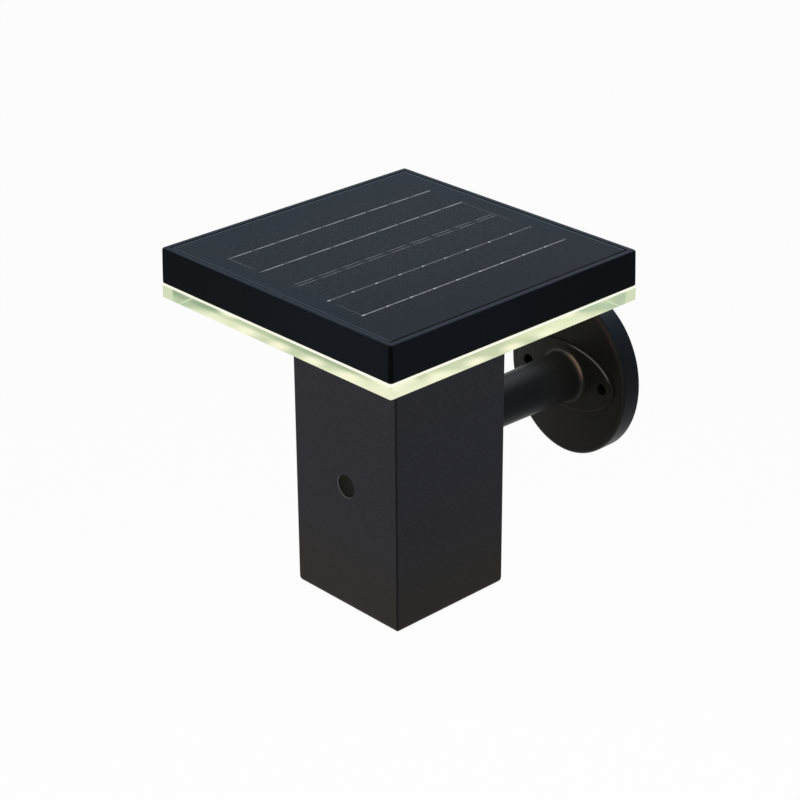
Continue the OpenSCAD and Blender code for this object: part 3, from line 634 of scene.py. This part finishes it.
# %% Finishes of the solar panel
# All places are counted from the panel's middle
ROW_PITCH_MM = 13.66
ROWS_END_MM = 61.47
BUSBARS_MM = (22.0, 43.4)
BUSBAR_W_MM = 0.75
OUTER_BUSBARS_MM = (30, 32)
GAP_LINE_MM = 1.15
GAP_LINE_W_MM = 0.36
END_LINE_W_MM = 0.4
NEAR_END_MM = ((24, 30), (43.6, 43.8))
FAR_END_START_MM = (-24, -21)
FAR_END_STOP_MM = (8, 13)
CELLS_ACROSS_MM = (52, 55)
CELLS_ALONG_MM = (61, 63)
RIGHT_SHADE_MM = (5, 65)
SHEET_EDGE_MM = (70.3, 70.45)


def silver_lines(tree, x, y, across, along):
    """The silver that shows through: busbars, the line in the gap and the lines at the ends."""
    rows = compute(tree, "MULTIPLY_ADD", y, 1 / (ROW_PITCH_MM * MM), ROWS_END_MM / ROW_PITCH_MM)
    row = compute(tree, "FRACT", rows)
    # A busbar grows along each cell on the left half, and fades to a bead of solder on the right
    left = all_of(tree, between(tree, row, 0.0, 0.4, (0.2, 0.5)), between(tree, row, 0.02, 0.06))
    outer = span(tree, across, OUTER_BUSBARS_MM, (0.22, 0.42))
    fading = between(tree, row, 0.04, 0.18, (1.0, outer))
    right = all_of(tree, fading, between(tree, row, 0.9, 0.96, (1.0, 0.35)))
    busbar = any_of(tree, *(on_line(tree, across, middle, BUSBAR_W_MM) for middle in BUSBARS_MM))
    busbar = all_of(tree, busbar, between(tree, past_middle(tree, x), 0.0, 1.0, (left, right)))
    gap_line = all_of(
        tree,
        on_line(tree, across, GAP_LINE_MM, GAP_LINE_W_MM),
        between(tree, row, 0.01, 0.25, (0.0, 0.38)),
        between(tree, row, 0.8, 0.99, (1.0, 0.2)),
    )
    near_end = all_of(
        tree,
        past_middle(tree, y, FALLING),
        band_of(tree, across, *NEAR_END_MM),
        past_middle(tree, x, (0.14, 0.1)),
    )
    far_end = all_of(
        tree,
        past_middle(tree, y),
        span(tree, x, FAR_END_START_MM),
        span(tree, x, FAR_END_STOP_MM, (0.1, 0.0)),
    )
    end_line = on_line(tree, along, ROWS_END_MM - END_LINE_W_MM, END_LINE_W_MM)
    end_line = all_of(tree, end_line, any_of(tree, near_end, far_end))
    inside = span(tree, along, (ROWS_END_MM, ROWS_END_MM + END_LINE_W_MM), FALLING)
    uneven = between(tree, noise_of(tree, 1.4), 0.0, 1.0, (0.75, 1.15))
    return all_of(tree, any_of(tree, busbar, gap_line, end_line), inside, uneven)


def frosted_pet():
    """The laminate's face: a fine frost, darker over the cells, with the silver, painted shade toward the
    right, a painted highlight on the cut edge and a painted shadow on its right side.
    """
    made, shader = surface("frosted_pet_over_cells", "283037", 0.45, {"Specular IOR Level": 0.01})
    tree = made.node_tree
    x, y = parts_of(tree, from_head_middle(tree))[:2]
    across, along = folded_parts(tree)[:2]
    cells = all_of(
        tree, span(tree, across, CELLS_ACROSS_MM, FALLING), span(tree, along, CELLS_ALONG_MM, FALLING)
    )
    dark, light = two_tone(tree, cells, "1d242b", "12181f"), two_tone(tree, cells, "2e353d", "353c44")
    slate = two_tone(tree, noise_of(tree, 0.5), dark, light)
    clouds = between(tree, noise_of(tree, 22), 0.0, 1.0, (0.0, 0.35))
    slate = two_tone(tree, clouds, slate, "272e32")
    # Painted shade: the face darkens toward the right
    slate = two_tone(tree, span(tree, x, RIGHT_SHADE_MM, (0.0, 0.4)), slate, "1b2228")
    lined = two_tone(tree, silver_lines(tree, x, y, across, along), slate, "bcbfc6")
    # A painted highlight on the cut edge, palest on the two far sides, and a painted shadow of the lip on
    # the right side
    front, side = (span(tree, distance, SHEET_EDGE_MM) for distance in (along, across))
    far_to_near = past_middle(tree, compute(tree, "SUBTRACT", x, y))
    edge = two_tone(tree, far_to_near, "525d67", "3c4650")
    edged = two_tone(tree, any_of(tree, front, side), lined, edge)
    right_side = all_of(tree, side, past_middle(tree, x))
    tree.links.new(two_tone(tree, right_side, edged, "03060a"), shader.inputs["Base Color"])
    return made


frosted_pet_sheet = frosted_pet()
# The film between the cells and the cover: a dull dark slate
potting_film = grain(
    surface("potting_film_over_board", "222b33", 0.5, {"Specular IOR Level": 0.1}),
    1.2, "1f272e", "262e36",
)
# Blue-black wafers with a faint crystal pattern
silicon = grain(
    surface("silicon_cells", "1f2a38", 0.35, {"Specular IOR Level": 0.2}),
    2.5, "1c252e", "242d37", gloss=(0.3, 0.45),
)
# Pale metal paste, matt and a little uneven
printed_silver = grain(surface("screen_printed_silver", "d0d3d5", 0.5), 0.9, "a9adb0", "f0f2f3")
print("made", frosted_pet_sheet.name)

# %% [markdown]
# ## The panel's face
# The frosted sheet is a flat square with slightly broken edges, because it is cut and then rubbed
# smooth. It lies a hair above the film, so that the two faces never coincide.

# %% Panel cover
SHEET_CORNER_ROUNDING = (0.4 * MM, 3)
SHEET_TOP_ROUNDING = (0.2 * MM, 2)
glazing_low, glazing_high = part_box("panel_glazing")


def panel_cover():
    """The sheet over the cells."""
    mesh = bmesh.new()
    width = glazing_high.x - glazing_low.x
    low = glazing_low.z + HAIR
    place = Matrix.Translation((head_centre.x, head_centre.y, (low + glazing_high.z) / 2))
    size = Matrix.Diagonal((width, width, glazing_high.z - low, 1))
    bmesh.ops.create_cube(mesh, size=1, matrix=place @ size)
    round_edges(mesh, upright_edges(mesh), *SHEET_CORNER_ROUNDING)
    round_edges(mesh, edges_where(mesh, lambda co: co.z > glazing_high.z - NEAR), *SHEET_TOP_ROUNDING)
    make_piece(mesh, "panel_cover", "lamp", [frosted_pet_sheet], ["panel_glazing"])


panel_cover()

# %% [markdown]
# ## The acrylic light guide's finishes
# The plate under the casing is laser-cut clear acrylic. It is lit from above by small diodes, and
# what the eye sees in its edge is the white reflector over it, by way of the polished underside. So
# the clear faces are real glass-like acrylic, and the back face is a glowing surface whose pattern
# is brightest under each diode. The plate's broken upper edge catches the light as a white line.

# %% Finishes of the light guide
ACRYLIC = {"Transmission Weight": 1.0, "IOR": 1.49}
LED_LINE = 49.9 * MM
LED_FIRST = 11 * MM
LED_SECOND = 33 * MM
HALO_MM = (1.0, 10.0)
# The glow is seen a little nearer to the front corner than the diodes stand, as in the photo
HALO_SHIFT = 2.1 * MM
# The glow's colour by the distance from the head's middle planes
ZONES = [
    (34.0, "fafaec"), (36.6, "f4f6de"), (38.0, "ecf0cf"), (46.0, "eef2d1"),
    (50.0, "f1f5d6"), (53.0, "f7f8dc"), (56.0, "fbfae2"), (60.0, "f2f4da"),
]
BAND_MM = ((36.9, 37.5), (41.0, 46.0))
BAND_END_MM = (-8, 14)
# Its painted shade by the distance toward the front corner
CORNER_GLOW = [
    (-60, "dde6dc"), (-38, "d8e2d8"), (-28, "bccfc3"), (-21, "bed0c5"), (-12, "ecf2e8"),
    (3, "fdfefb"), (18, "f4f7f2"), (32, "dbe2da"), (52, "d9e0d8"), (70, "dfe5dd"),
    (80, "fafbf8"), (120, "ffffff"),
]
FLAMED_MM = (60.0, 64.0)
guide_low, guide_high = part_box("light_guide")

clear_acrylic = surface("polished_acrylic", "f8faf0", 0.02, ACRYLIC)[0]


def cut_side():
    """A laser-cut side: clear, but near a corner its inside face has a painted pale glow."""
    made, shader = surface("laser_cut_acrylic", "f8faf0", 0.02, ACRYLIC)
    tree = made.node_tree
    glow = add(tree, "ShaderNodeEmission", {"Color": srgb("d2dcba"), "Strength": 1.0})
    inside = [add(tree, "ShaderNodeNewGeometry").outputs["Backfacing"]]
    inside += [span(tree, side, FLAMED_MM) for side in folded_parts(tree)[:2]]
    sockets = {0: all_of(tree, *inside), 1: shader.outputs[0], 2: glow.outputs[0]}
    both = add(tree, "ShaderNodeMixShader", sockets)
    tree.links.new(both.outputs[0], tree.nodes["Material Output"].inputs["Surface"])
    return made


def along_side(tree, along, across):
    """How far a point lies from the nearest diode of the two sides that run that way."""
    middle = (LED_FIRST + LED_SECOND) / 2
    first = compute(tree, "ABSOLUTE", compute(tree, "SUBTRACT", along, middle))
    first = compute(tree, "SUBTRACT", first, middle - LED_FIRST)
    second = compute(tree, "SUBTRACT", across, LED_LINE)
    flat = add(tree, "ShaderNodeCombineXYZ", {0: first, 1: second}).outputs[0]
    return compute_vector(tree, "LENGTH", flat)["Value"]


def glowing_back():
    """The reflector seen through the acrylic as a glow: brightest at each diode, with painted shading that
    is brighter toward the front corner and a painted shadow band.
    """
    made = bpy.data.materials.new("lit_reflector_behind_acrylic")
    tree = new_tree(made)
    x, y = parts_of(tree, from_head_middle(tree))[:2]
    across, along = folded_parts(tree)[:2]
    moved_x, moved_y = folded_parts(tree, (HALO_SHIFT, -HALO_SHIFT, 0))[:2]
    near = [along_side(tree, moved_x, along), along_side(tree, moved_y, across)]
    halo = span(tree, compute(tree, "MINIMUM", *near), HALO_MM, FALLING)
    body = ramp(tree, any_of(tree, across, along), ZONES)
    patches = between(tree, noise_of(tree, 12), 0.0, 1.0, (0.0, 0.3))
    body = two_tone(tree, patches, body, "cfdaa8")
    # A faint painted shadow band under the upper edge of the front and left sides
    band_end = span(tree, compute(tree, "ADD", x, y), BAND_END_MM, FALLING)
    body = two_tone(tree, all_of(tree, band_of(tree, along, *BAND_MM), band_end), body, "c2ceac")
    shade = ramp(tree, compute(tree, "SUBTRACT", x, y), CORNER_GLOW)
    body = two_tone(tree, 1.0, body, shade, blend_type="MULTIPLY")
    lit = two_tone(tree, halo, body, "fdfbdc")
    glow = add(tree, "ShaderNodeEmission", {"Color": lit, "Strength": 1.0})
    add(tree, "ShaderNodeOutputMaterial", {"Surface": glow.outputs[0]})
    return made


def lit_edge():
    """The upper edge of the acrylic, where light leaves it; from inside it is as pale as the rest."""
    made, shader = surface("lit_acrylic_edge", "202020", 0.3, {"Emission Strength": 1.0})
    tree = made.node_tree
    pale = two_tone(tree, noise_of(tree, 30, 1.0), "f9f9e8", "fefef2")
    inside = add(tree, "ShaderNodeNewGeometry").outputs["Backfacing"]
    tree.links.new(two_tone(tree, inside, pale, "c3d2ab"), shader.inputs["Emission Color"])
    return made


laser_cut_acrylic = cut_side()
lit_reflector = glowing_back()
lit_acrylic_edge = lit_edge()
print("diodes at", LED_FIRST, LED_SECOND, "along the line", LED_LINE)

# %% [markdown]
# ## The light guide
# The plate is a square ring: its middle is open for the wires, and four screws pass through it into
# the post. Every loop, the outer edge, the window and the screw holes, is drawn up from the
# underside, and the two flat faces are filled between the loops. It stays a hair away from its
# neighbours, because a face of glass that coincides with another face gives dark specks.

# %% Light guide
COLUMN_PLACE = 25.8 * MM
WINDOW_W = 40 * MM
CUT_CORNER = 0.6 * MM
EDGE_STRIP = 0.78 * MM
EDGE_LEAN = 0.3 * MM


def light_guide():
    """The acrylic plate: clear below and at the sides, glowing above, lit along its upper edge."""
    mesh = bmesh.new()
    low, high = guide_low.z + HAIR, guide_high.z - HAIR
    width = guide_high.x - guide_low.x
    middle = Vector((head_centre.x, head_centre.y, low))
    side = Vector((0, 0, high - low - EDGE_STRIP))
    outer = square(mesh, middle, width, CUT_CORNER, 1)
    strip = draw_out(mesh, outer, side)
    top_outer = draw_out(mesh, strip, (0, 0, EDGE_STRIP), 1 - EDGE_LEAN / width, middle + side)
    loops = [square(mesh, middle, WINDOW_W)]
    loops += [ring(mesh, spot, SCREW_HOLE_R, sides=32) for spot in four_spots(middle, COLUMN_PLACE)]
    tops = [draw_out(mesh, loop, (0, 0, high - low)) for loop in loops]
    fill(mesh, outer, *loops)
    for face in fill(mesh, top_outer, *tops):
        face.material_index = 1

    def at_corner(co):
        return max(abs(co.x), abs(co.y - head_centre.y)) > width / 2 - CUT_CORNER - NEAR

    for face in mesh.faces:
        heights = sorted(vert.co.z for vert in face.verts)
        if heights[0] > high - EDGE_STRIP - NEAR and heights[-1] - heights[0] > NEAR:
            face.material_index = 2
        elif all(at_corner(vert.co) for vert in face.verts):
            face.material_index = 3
    finishes = [clear_acrylic, lit_reflector, lit_acrylic_edge, laser_cut_acrylic]
    make_piece(mesh, "acrylic_plate", "lamp", finishes, ["light_guide"])


light_guide()

# %% [markdown]
# ## Powder-coated aluminium
# The post and the wall bracket are aluminium castings with a black powder coat. The powder melts
# into a skin with a fine orange peel, which scatters the light, so the black looks soft. On the post
# the coat is painted warm below and cool at the top, as the light falls, with painted shade on its
# upright corners. The peel of the real coat is a little under a millimetre wide. The bracket's coat
# is smoother and deeper, and its tones are painted light: cool reflections on the arm and rim,
# warmer faces, painted highlights on the rims that stand out, and painted shade in the bores.

# %% Powder-coated cast aluminium
button_low, button_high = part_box("button_cap")
button_axis = Vector(((button_low.x + button_high.x) / 2, 0, (button_low.z + button_high.z) / 2))
post_low, post_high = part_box("post_housing")
POST_FADE = 70 * MM
POST_CORNER_MM = (0.9, 0.4)
BUTTON_BORE_MM = (5.8, 5.9)
BUTTON_BORE_DEPTH_MM = (1.2, 1.5)
WALL_HOLE_PLACE_MM = 24.2
WALL_BORE_MM = (3.18, 3.22)
PAD_HALF_MM = (31.5, 17.5)
PLATE_HALF_MM = (37.3, 42.5)
# Painted shade and reflection on the rim, by height
RIM_SHADES = [(-42, "15161e"), (-12, "06080c"), (12, "06090d"), (34, "101a22")]
# Where one tone of the bracket goes over into the next
ARM_FADE_MM = (-48, -26)
ARM_TO_FACES_MM = (-17, -14.5)
FACES_TO_RIM_MM = (-11, -9.5)
FACE_FADE_MM = (-36, 0)
# Each painted highlight: a band of distances from the arm's axis, or shares of the oval, then depths and
# heights
COLLAR_BAND_MM = ((12.35, 13.5), (14.4, 15.3))
COLLAR_DEPTH_MM = (-14.2, -13.6)
COLLAR_HEIGHT_MM = (-14, -6)
COLLAR_TOP_MM = (0, 8)
COLLAR_WARM_MM = (1, 8)
PAD_BAND = ((0.945, 0.96), (1.002, 1.006))
PAD_DEPTH_MM = (-12.9, -12.7)
PAD_RIGHT_MM = (0, 10)
PAD_HEIGHT_MM = (4, 9)
PLATE_BAND = ((0.935, 0.955), (0.975, 0.99))
PLATE_DEPTH_MM = (-11.0, -10.6)
PLATE_HEIGHT_MM = (14, 28)


def from_axis(tree, x, z):
    """How far a point lies from an axis that runs through the lamp from front to back."""
    flat = compute_vector(tree, "MULTIPLY", object_place(tree), (1, 0, 1))[0]
    return compute_vector(tree, "DISTANCE", flat, (x, 0, z))["Value"]


def oval_share(tree, half_mm):
    """How far out a point lies, as a share of an oval about the arm's axis."""
    shrink = (1 / (half_mm[0] * MM), 0, 1 / (half_mm[1] * MM))
    flat = compute_vector(tree, "MULTIPLY", object_place(tree), shrink)[0]
    return compute_vector(tree, "LENGTH", flat)["Value"]


def post_coat():
    """The post's coat, with painted light: a painted cool cast at the top and warm below, painted shade on
    the upright corners, a painted highlight in the button's hole.
    """
    made, shader = surface("powder_coated_cast_aluminium", "2e2e31", 0.6, {"Specular IOR Level": 0.05})
    tree = made.node_tree
    spots = noise_of(tree, 0.8, 3.0)
    y, z = parts_of(tree, object_place(tree))[1:3]
    # Painted light: warm below and cool at the top, as the light falls
    high = between(tree, z, post_low.z, post_low.z + POST_FADE)
    dark, light = two_tone(tree, high, "2b2927", "292930"), two_tone(tree, high, "363430", "36363d")
    coat = two_tone(tree, spots, dark, light)
    # Painted shade on the upright corners
    half = (post_high.x - post_low.x) / 2
    limits = [half - distance * MM for distance in POST_CORNER_MM]
    corner = all_of(tree, *(between(tree, side, *limits) for side in folded_parts(tree)[:2]))
    coat = two_tone(tree, corner, coat, "1b1b1f")
    # A painted highlight in the button's hole
    depths = [post_low.y + depth * MM for depth in BUTTON_BORE_DEPTH_MM]
    bore = all_of(
        tree,
        span(tree, from_axis(tree, button_axis.x, button_axis.z), BUTTON_BORE_MM, FALLING),
        between(tree, y, *depths, FALLING),
    )
    return coated(made, shader, two_tone(tree, bore, coat, "6e6e72"), spots, (0.5, 0.7), 0.012)


def bracket_coat():
    """The bracket's coat, in painted light: cool on the arm and rim, warmer on the faces between, painted
    highlights on the rims, painted shade in the bores.
    """
    made, shader = surface("satin_powder_coated_aluminium", "111111", 0.36, {"Specular IOR Level": 0.05})
    tree = made.node_tree
    spots = noise_of(tree, 0.9, 3.0)
    x, y, z = parts_of(tree, object_place(tree))
    # Painted light: the arm is painted cool, and lighter toward the wall
    to_wall = span(tree, y, ARM_FADE_MM)
    dark, light = two_tone(tree, to_wall, "111214", "1c1c1b"), two_tone(tree, to_wall, "181a1c", "242423")
    arm = two_tone(tree, spots, dark, light)
    # Painted light: the faces between are painted warm, and lighter toward the left
    to_left = span(tree, x, FACE_FADE_MM, FALLING)
    dark, light = two_tone(tree, to_left, "1e1d18", "2a2a29"), two_tone(tree, to_left, "26251f", "323231")
    face = two_tone(tree, spots, dark, light)
    # Painted shade and reflection on the rim, cool, by height
    rim_spots = between(tree, spots, 0.0, 1.0, (0.0, 0.2))
    rim = two_tone(tree, rim_spots, ramp(tree, z, RIM_SHADES), "1c2026")
    coat = two_tone(tree, span(tree, y, ARM_TO_FACES_MM), arm, face)
    coat = two_tone(tree, span(tree, y, FACES_TO_RIM_MM), coat, rim)
    # A painted highlight on the pad's rim at the upper right
    pad = all_of(
        tree,
        band_of(tree, oval_share(tree, PAD_HALF_MM), *PAD_BAND, unit=1),
        span(tree, y, PAD_DEPTH_MM, FALLING),
        span(tree, x, PAD_RIGHT_MM),
        span(tree, z, PAD_HEIGHT_MM),
    )
    coat = two_tone(tree, pad, coat, "7a7672")
    # A painted highlight on the flare, warm at its upper right
    collar = all_of(
        tree,
        band_of(tree, from_axis(tree, 0, 0), *COLLAR_BAND_MM),
        span(tree, y, COLLAR_DEPTH_MM, FALLING),
        span(tree, z, COLLAR_HEIGHT_MM),
    )
    warm = two_tone(tree, span(tree, x, COLLAR_WARM_MM), "565455", "b08d7a")
    coat = two_tone(tree, collar, coat, two_tone(tree, span(tree, z, COLLAR_TOP_MM), "3e3e41", warm))
    # A painted highlight on the plate's rounded rim at the top
    plate = all_of(
        tree,
        band_of(tree, oval_share(tree, PLATE_HALF_MM), *PLATE_BAND, unit=1),
        span(tree, y, PLATE_DEPTH_MM, FALLING),
        span(tree, z, PLATE_HEIGHT_MM),
    )
    coat = two_tone(tree, plate, coat, "38302c")
    # Painted shade inside the wall screws' bores
    holes = [from_axis(tree, side * WALL_HOLE_PLACE_MM * MM, 0) for side in (-1, 1)]
    bore = any_of(tree, *(span(tree, hole, WALL_BORE_MM, FALLING) for hole in holes))
    return coated(made, shader, two_tone(tree, bore, coat, "161611"), spots, (0.32, 0.4), 0.005)


powder_coat = post_coat()
satin_coat = bracket_coat()
print("made", powder_coat.name, "and", satin_coat.name)

# %% [markdown]
# ## The post
# The post is a deep square cup, cast in one piece with its screw columns and pillars. Its shape in
# the CAD model is already right, down to the bevelled hole for the button. So a copy of it is
# merged to one skin, and its rounded edges are shaded as smooth surfaces.

# %% Post
post = merged_copy("post_housing")
make_piece(post, "post_casting", "lamp", [powder_coat], ["post_housing"])

# %% [markdown]
# ## The wall bracket
# Arm, flare, raised pad and oval plate are one casting, and the CAD model has their curves. A
# casting has no sharp corners, so the rim of the raised pad is rounded here on the merged copy.

# %% Wall bracket
PLATE_T = 11.6 * MM
PAD_T = 1.5 * MM
PAD_ROUNDING = (0.95 * MM, 5)
bracket_low, bracket_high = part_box("wall_bracket")


def wall_bracket():
    """The bracket, with the rim of its pad rounded."""
    mesh = merged_copy("wall_bracket")

    def on_pad_rim(co):
        share = math.hypot(co.x / PAD_HALF_MM[0], co.z / PAD_HALF_MM[1])
        return abs(co.y + PLATE_T + PAD_T) < NEAR and share > 0.99 * MM

    round_edges(mesh, edges_where(mesh, on_pad_rim), *PAD_ROUNDING)
    make_piece(mesh, "bracket_casting", "lamp", [satin_coat], ["wall_bracket"])


wall_bracket()
print("the bracket reaches from", bracket_low.y, "to", bracket_high.y)

# %% [markdown]
# ## The push button
# The button is a soft cap of black silicone rubber, pressed from inside through its hole. Its face
# is a little dished for the fingertip, and a flange behind the wall keeps it in. It is a turned
# shape, so half of its profile is spun about the button's axis.

# %% Button
CAP_R = 5.4
FLANGE_R = 7.6
FLANGE_DEPTH = (1.9, 3.1)
NUB_R = 2.2
DISH = 0.35
# Soft black rubber, dull and a little uneven
silicone_rubber = grain(
    surface("moulded_silicone_rubber", "151611", 0.6, {"Specular IOR Level": 0.05}),
    1.3, "080905", "1c1d15", depth_mm=0.03, gloss=(0.45, 0.7), detail=4.0,
)


def button_cap():
    """The button's cap, from a profile of radii and depths in millimetres."""
    mesh = bmesh.new()
    length = (button_high.y - button_low.y) / MM
    outline = [
        (0, DISH), (CAP_R * 0.45, DISH * 0.8), (CAP_R * 0.8, DISH * 0.25), (CAP_R - 0.5, 0),
        (CAP_R - 0.15, 0.12), (CAP_R, 0.5), (CAP_R, FLANGE_DEPTH[0]), (FLANGE_R, FLANGE_DEPTH[0]),
        (FLANGE_R, FLANGE_DEPTH[1]), (NUB_R, FLANGE_DEPTH[1]),
        (NUB_R, length - 0.2), (NUB_R - 0.2, length), (0, length),
    ]
    verts = [
        mesh.verts.new(button_axis + Vector((radius * MM, button_low.y + depth * MM, 0)))
        for radius, depth in outline
    ]
    edges = [mesh.edges.new(pair) for pair in zip(verts, verts[1:])]
    bmesh.ops.spin(
        mesh, geom=verts + edges, cent=button_axis, axis=(0, 1, 0),
        angle=math.tau, steps=64, use_merge=True,
    )
    bmesh.ops.remove_doubles(mesh, verts=mesh.verts, dist=0.001 * MM)
    make_piece(mesh, "button_rubber_cap", "button", [silicone_rubber], ["button_cap"])


button_cap()

# %% [markdown]
# ## Finishes of the pieces inside
# The other pieces keep their CAD shapes. Each gets the finish of its real material, with a grain,
# grit or print of its real size, so that the lamp also looks right when it is taken apart.

# %% Finishes inside
WIRE_PERIOD = 11 * MM

# Soft white plastic with a faint mould texture
white_abs = grain(
    surface("moulded_white_abs", "e4e4df", 0.45),
    0.8, "dededa", "eaeae6", depth_mm=0.005, gloss=(0.4, 0.52),
)
# Dull black rubber
epdm = grain(
    surface("moulded_epdm_rubber", "1b1b1c", 0.7, {"Specular IOR Level": 0.2}),
    0.9, "161617", "212122", depth_mm=0.015,
)
# Bright grey metal with fine marks around the screws
zinc = grain(
    surface("zinc_plated_steel", "a9adb0", 0.32, {"Metallic": 1.0}),
    0.6, "9a9ea2", "b8bbbd", gloss=(0.25, 0.42), stretch=(1, 1, 4),
)
# An even, bright white sheet
pet_film = grain(surface("white_pet_film", "f0f1ee", 0.5), 1.5, "ecedea", "f4f5f2", gloss=(0.45, 0.55))
# White and green lacquer on the boards, smooth with a fine grit
led_mask = grain(surface("white_solder_mask", "eceee9", 0.35), 0.5, "e6e8e3", "f1f2ee", depth_mm=0.004)
green_mask = grain(
    surface("glass_epoxy_board", "1f5a35", 0.3),
    0.6, "1a4f2e", "26683f", depth_mm=0.006, gloss=(0.24, 0.4),
)
# Black board with the weave of its glass fibre
board_fibre = grain(surface("glass_fibre_laminate", "17191b", 0.5), 0.5, "131517", "1e2022", depth_mm=0.01)
# Open dark grey foam, without any gloss
foam = grain(
    surface("polyethylene_foam_tape", "26272a", 0.85),
    0.5, "1f2022", "303134", depth_mm=0.06, detail=4.0,
)
# Cream plastic that lets a little light in
nylon = grain(
    surface("moulded_natural_nylon", "dcd8c8", 0.42, {"Subsurface Weight": 0.1}),
    1.0, "d5d0bf", "e2dfd1", depth_mm=0.004,
)
# Satin black plastic
black_nylon = grain(
    surface("moulded_black_nylon", "1c1c1e", 0.5, {"Specular IOR Level": 0.3}),
    0.8, "18181a", "222224", depth_mm=0.008,
)
# The matt black of chips
chip_epoxy = grain(surface("moulded_black_epoxy", "222325", 0.55), 0.4, "1d1e20", "2a2b2d", depth_mm=0.008)
# Glossy green sleeve around the battery cells
cell_wrap = grain(
    surface("pvc_shrink_wrap", "2f6b4a", 0.28, {"Coat Weight": 0.3}),
    6.0, "2b6445", "337350", gloss=(0.22, 0.34),
)
# Warm grey metal with the long marks of rolling
nickel = grain(
    surface("rolled_nickel_strip", "b9b4a8", 0.28, {"Metallic": 1.0}),
    0.5, "aca79b", "c6c1b5", gloss=(0.22, 0.36), stretch=(1, 1, 0.1),
)


def wire_pvc():
    """Extruded PVC on the wires: red for plus and black for minus, by the side of the pair."""
    made, shader = surface("extruded_pvc_sleeve", "a01f1f", 0.35)
    tree = made.node_tree
    pairs = compute(tree, "DIVIDE", parts_of(tree, object_place(tree))[0], WIRE_PERIOD)
    plus = compute(tree, "LESS_THAN", compute(tree, "FRACT", pairs), 0.5)
    tree.links.new(two_tone(tree, plus, "1d1d1f", "a3201f"), shader.inputs["Base Color"])
    raise_by(tree, shader, noise_of(tree, 0.8), 0.004)
    return made


def lit_phosphor():
    """The diodes' yellow phosphor, which glows warm white."""
    made, shader = surface("lit_phosphor_gel", "f2e6a8", 0.4, {"Emission Strength": 2.0})
    tree = made.node_tree
    pale = two_tone(tree, noise_of(tree, 0.5), "fff6cf", "fffdf2")
    tree.links.new(pale, shader.inputs["Emission Color"])
    return made


pvc_sleeve = wire_pvc()
phosphor = lit_phosphor()
FINISHES = [
    (zinc, "casing_screws", "base_screws", "board_screws", "tray_screws", "arm_screws", "arm_washers"),
    (epdm, "cable_grommet", "post_seal", "arm_seal"),
    (nylon, "switch_plunger", "board_connectors"),
    (black_nylon, "switch_body", "battery_tray", "battery_cap"),
    (pvc_sleeve, "panel_wires", "led_wires", "battery_wires"),
    (potting_film, "panel_film"), (silicon, "solar_cells"), (printed_silver, "cell_busbars"),
    (board_fibre, "panel_backing"), (foam, "panel_tape"), (white_abs, "head_base"),
    (led_mask, "led_board"), (phosphor, "leds"), (pet_film, "reflector_sheet"),
    (green_mask, "control_board"), (chip_epoxy, "board_components"),
    (cell_wrap, "battery_cells"), (nickel, "battery_contacts"),
]
for finish, *nodes in FINISHES:
    for node in nodes:
        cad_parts[node].material_slots[0].material = finish
    print(finish.name, "on", ", ".join(nodes))
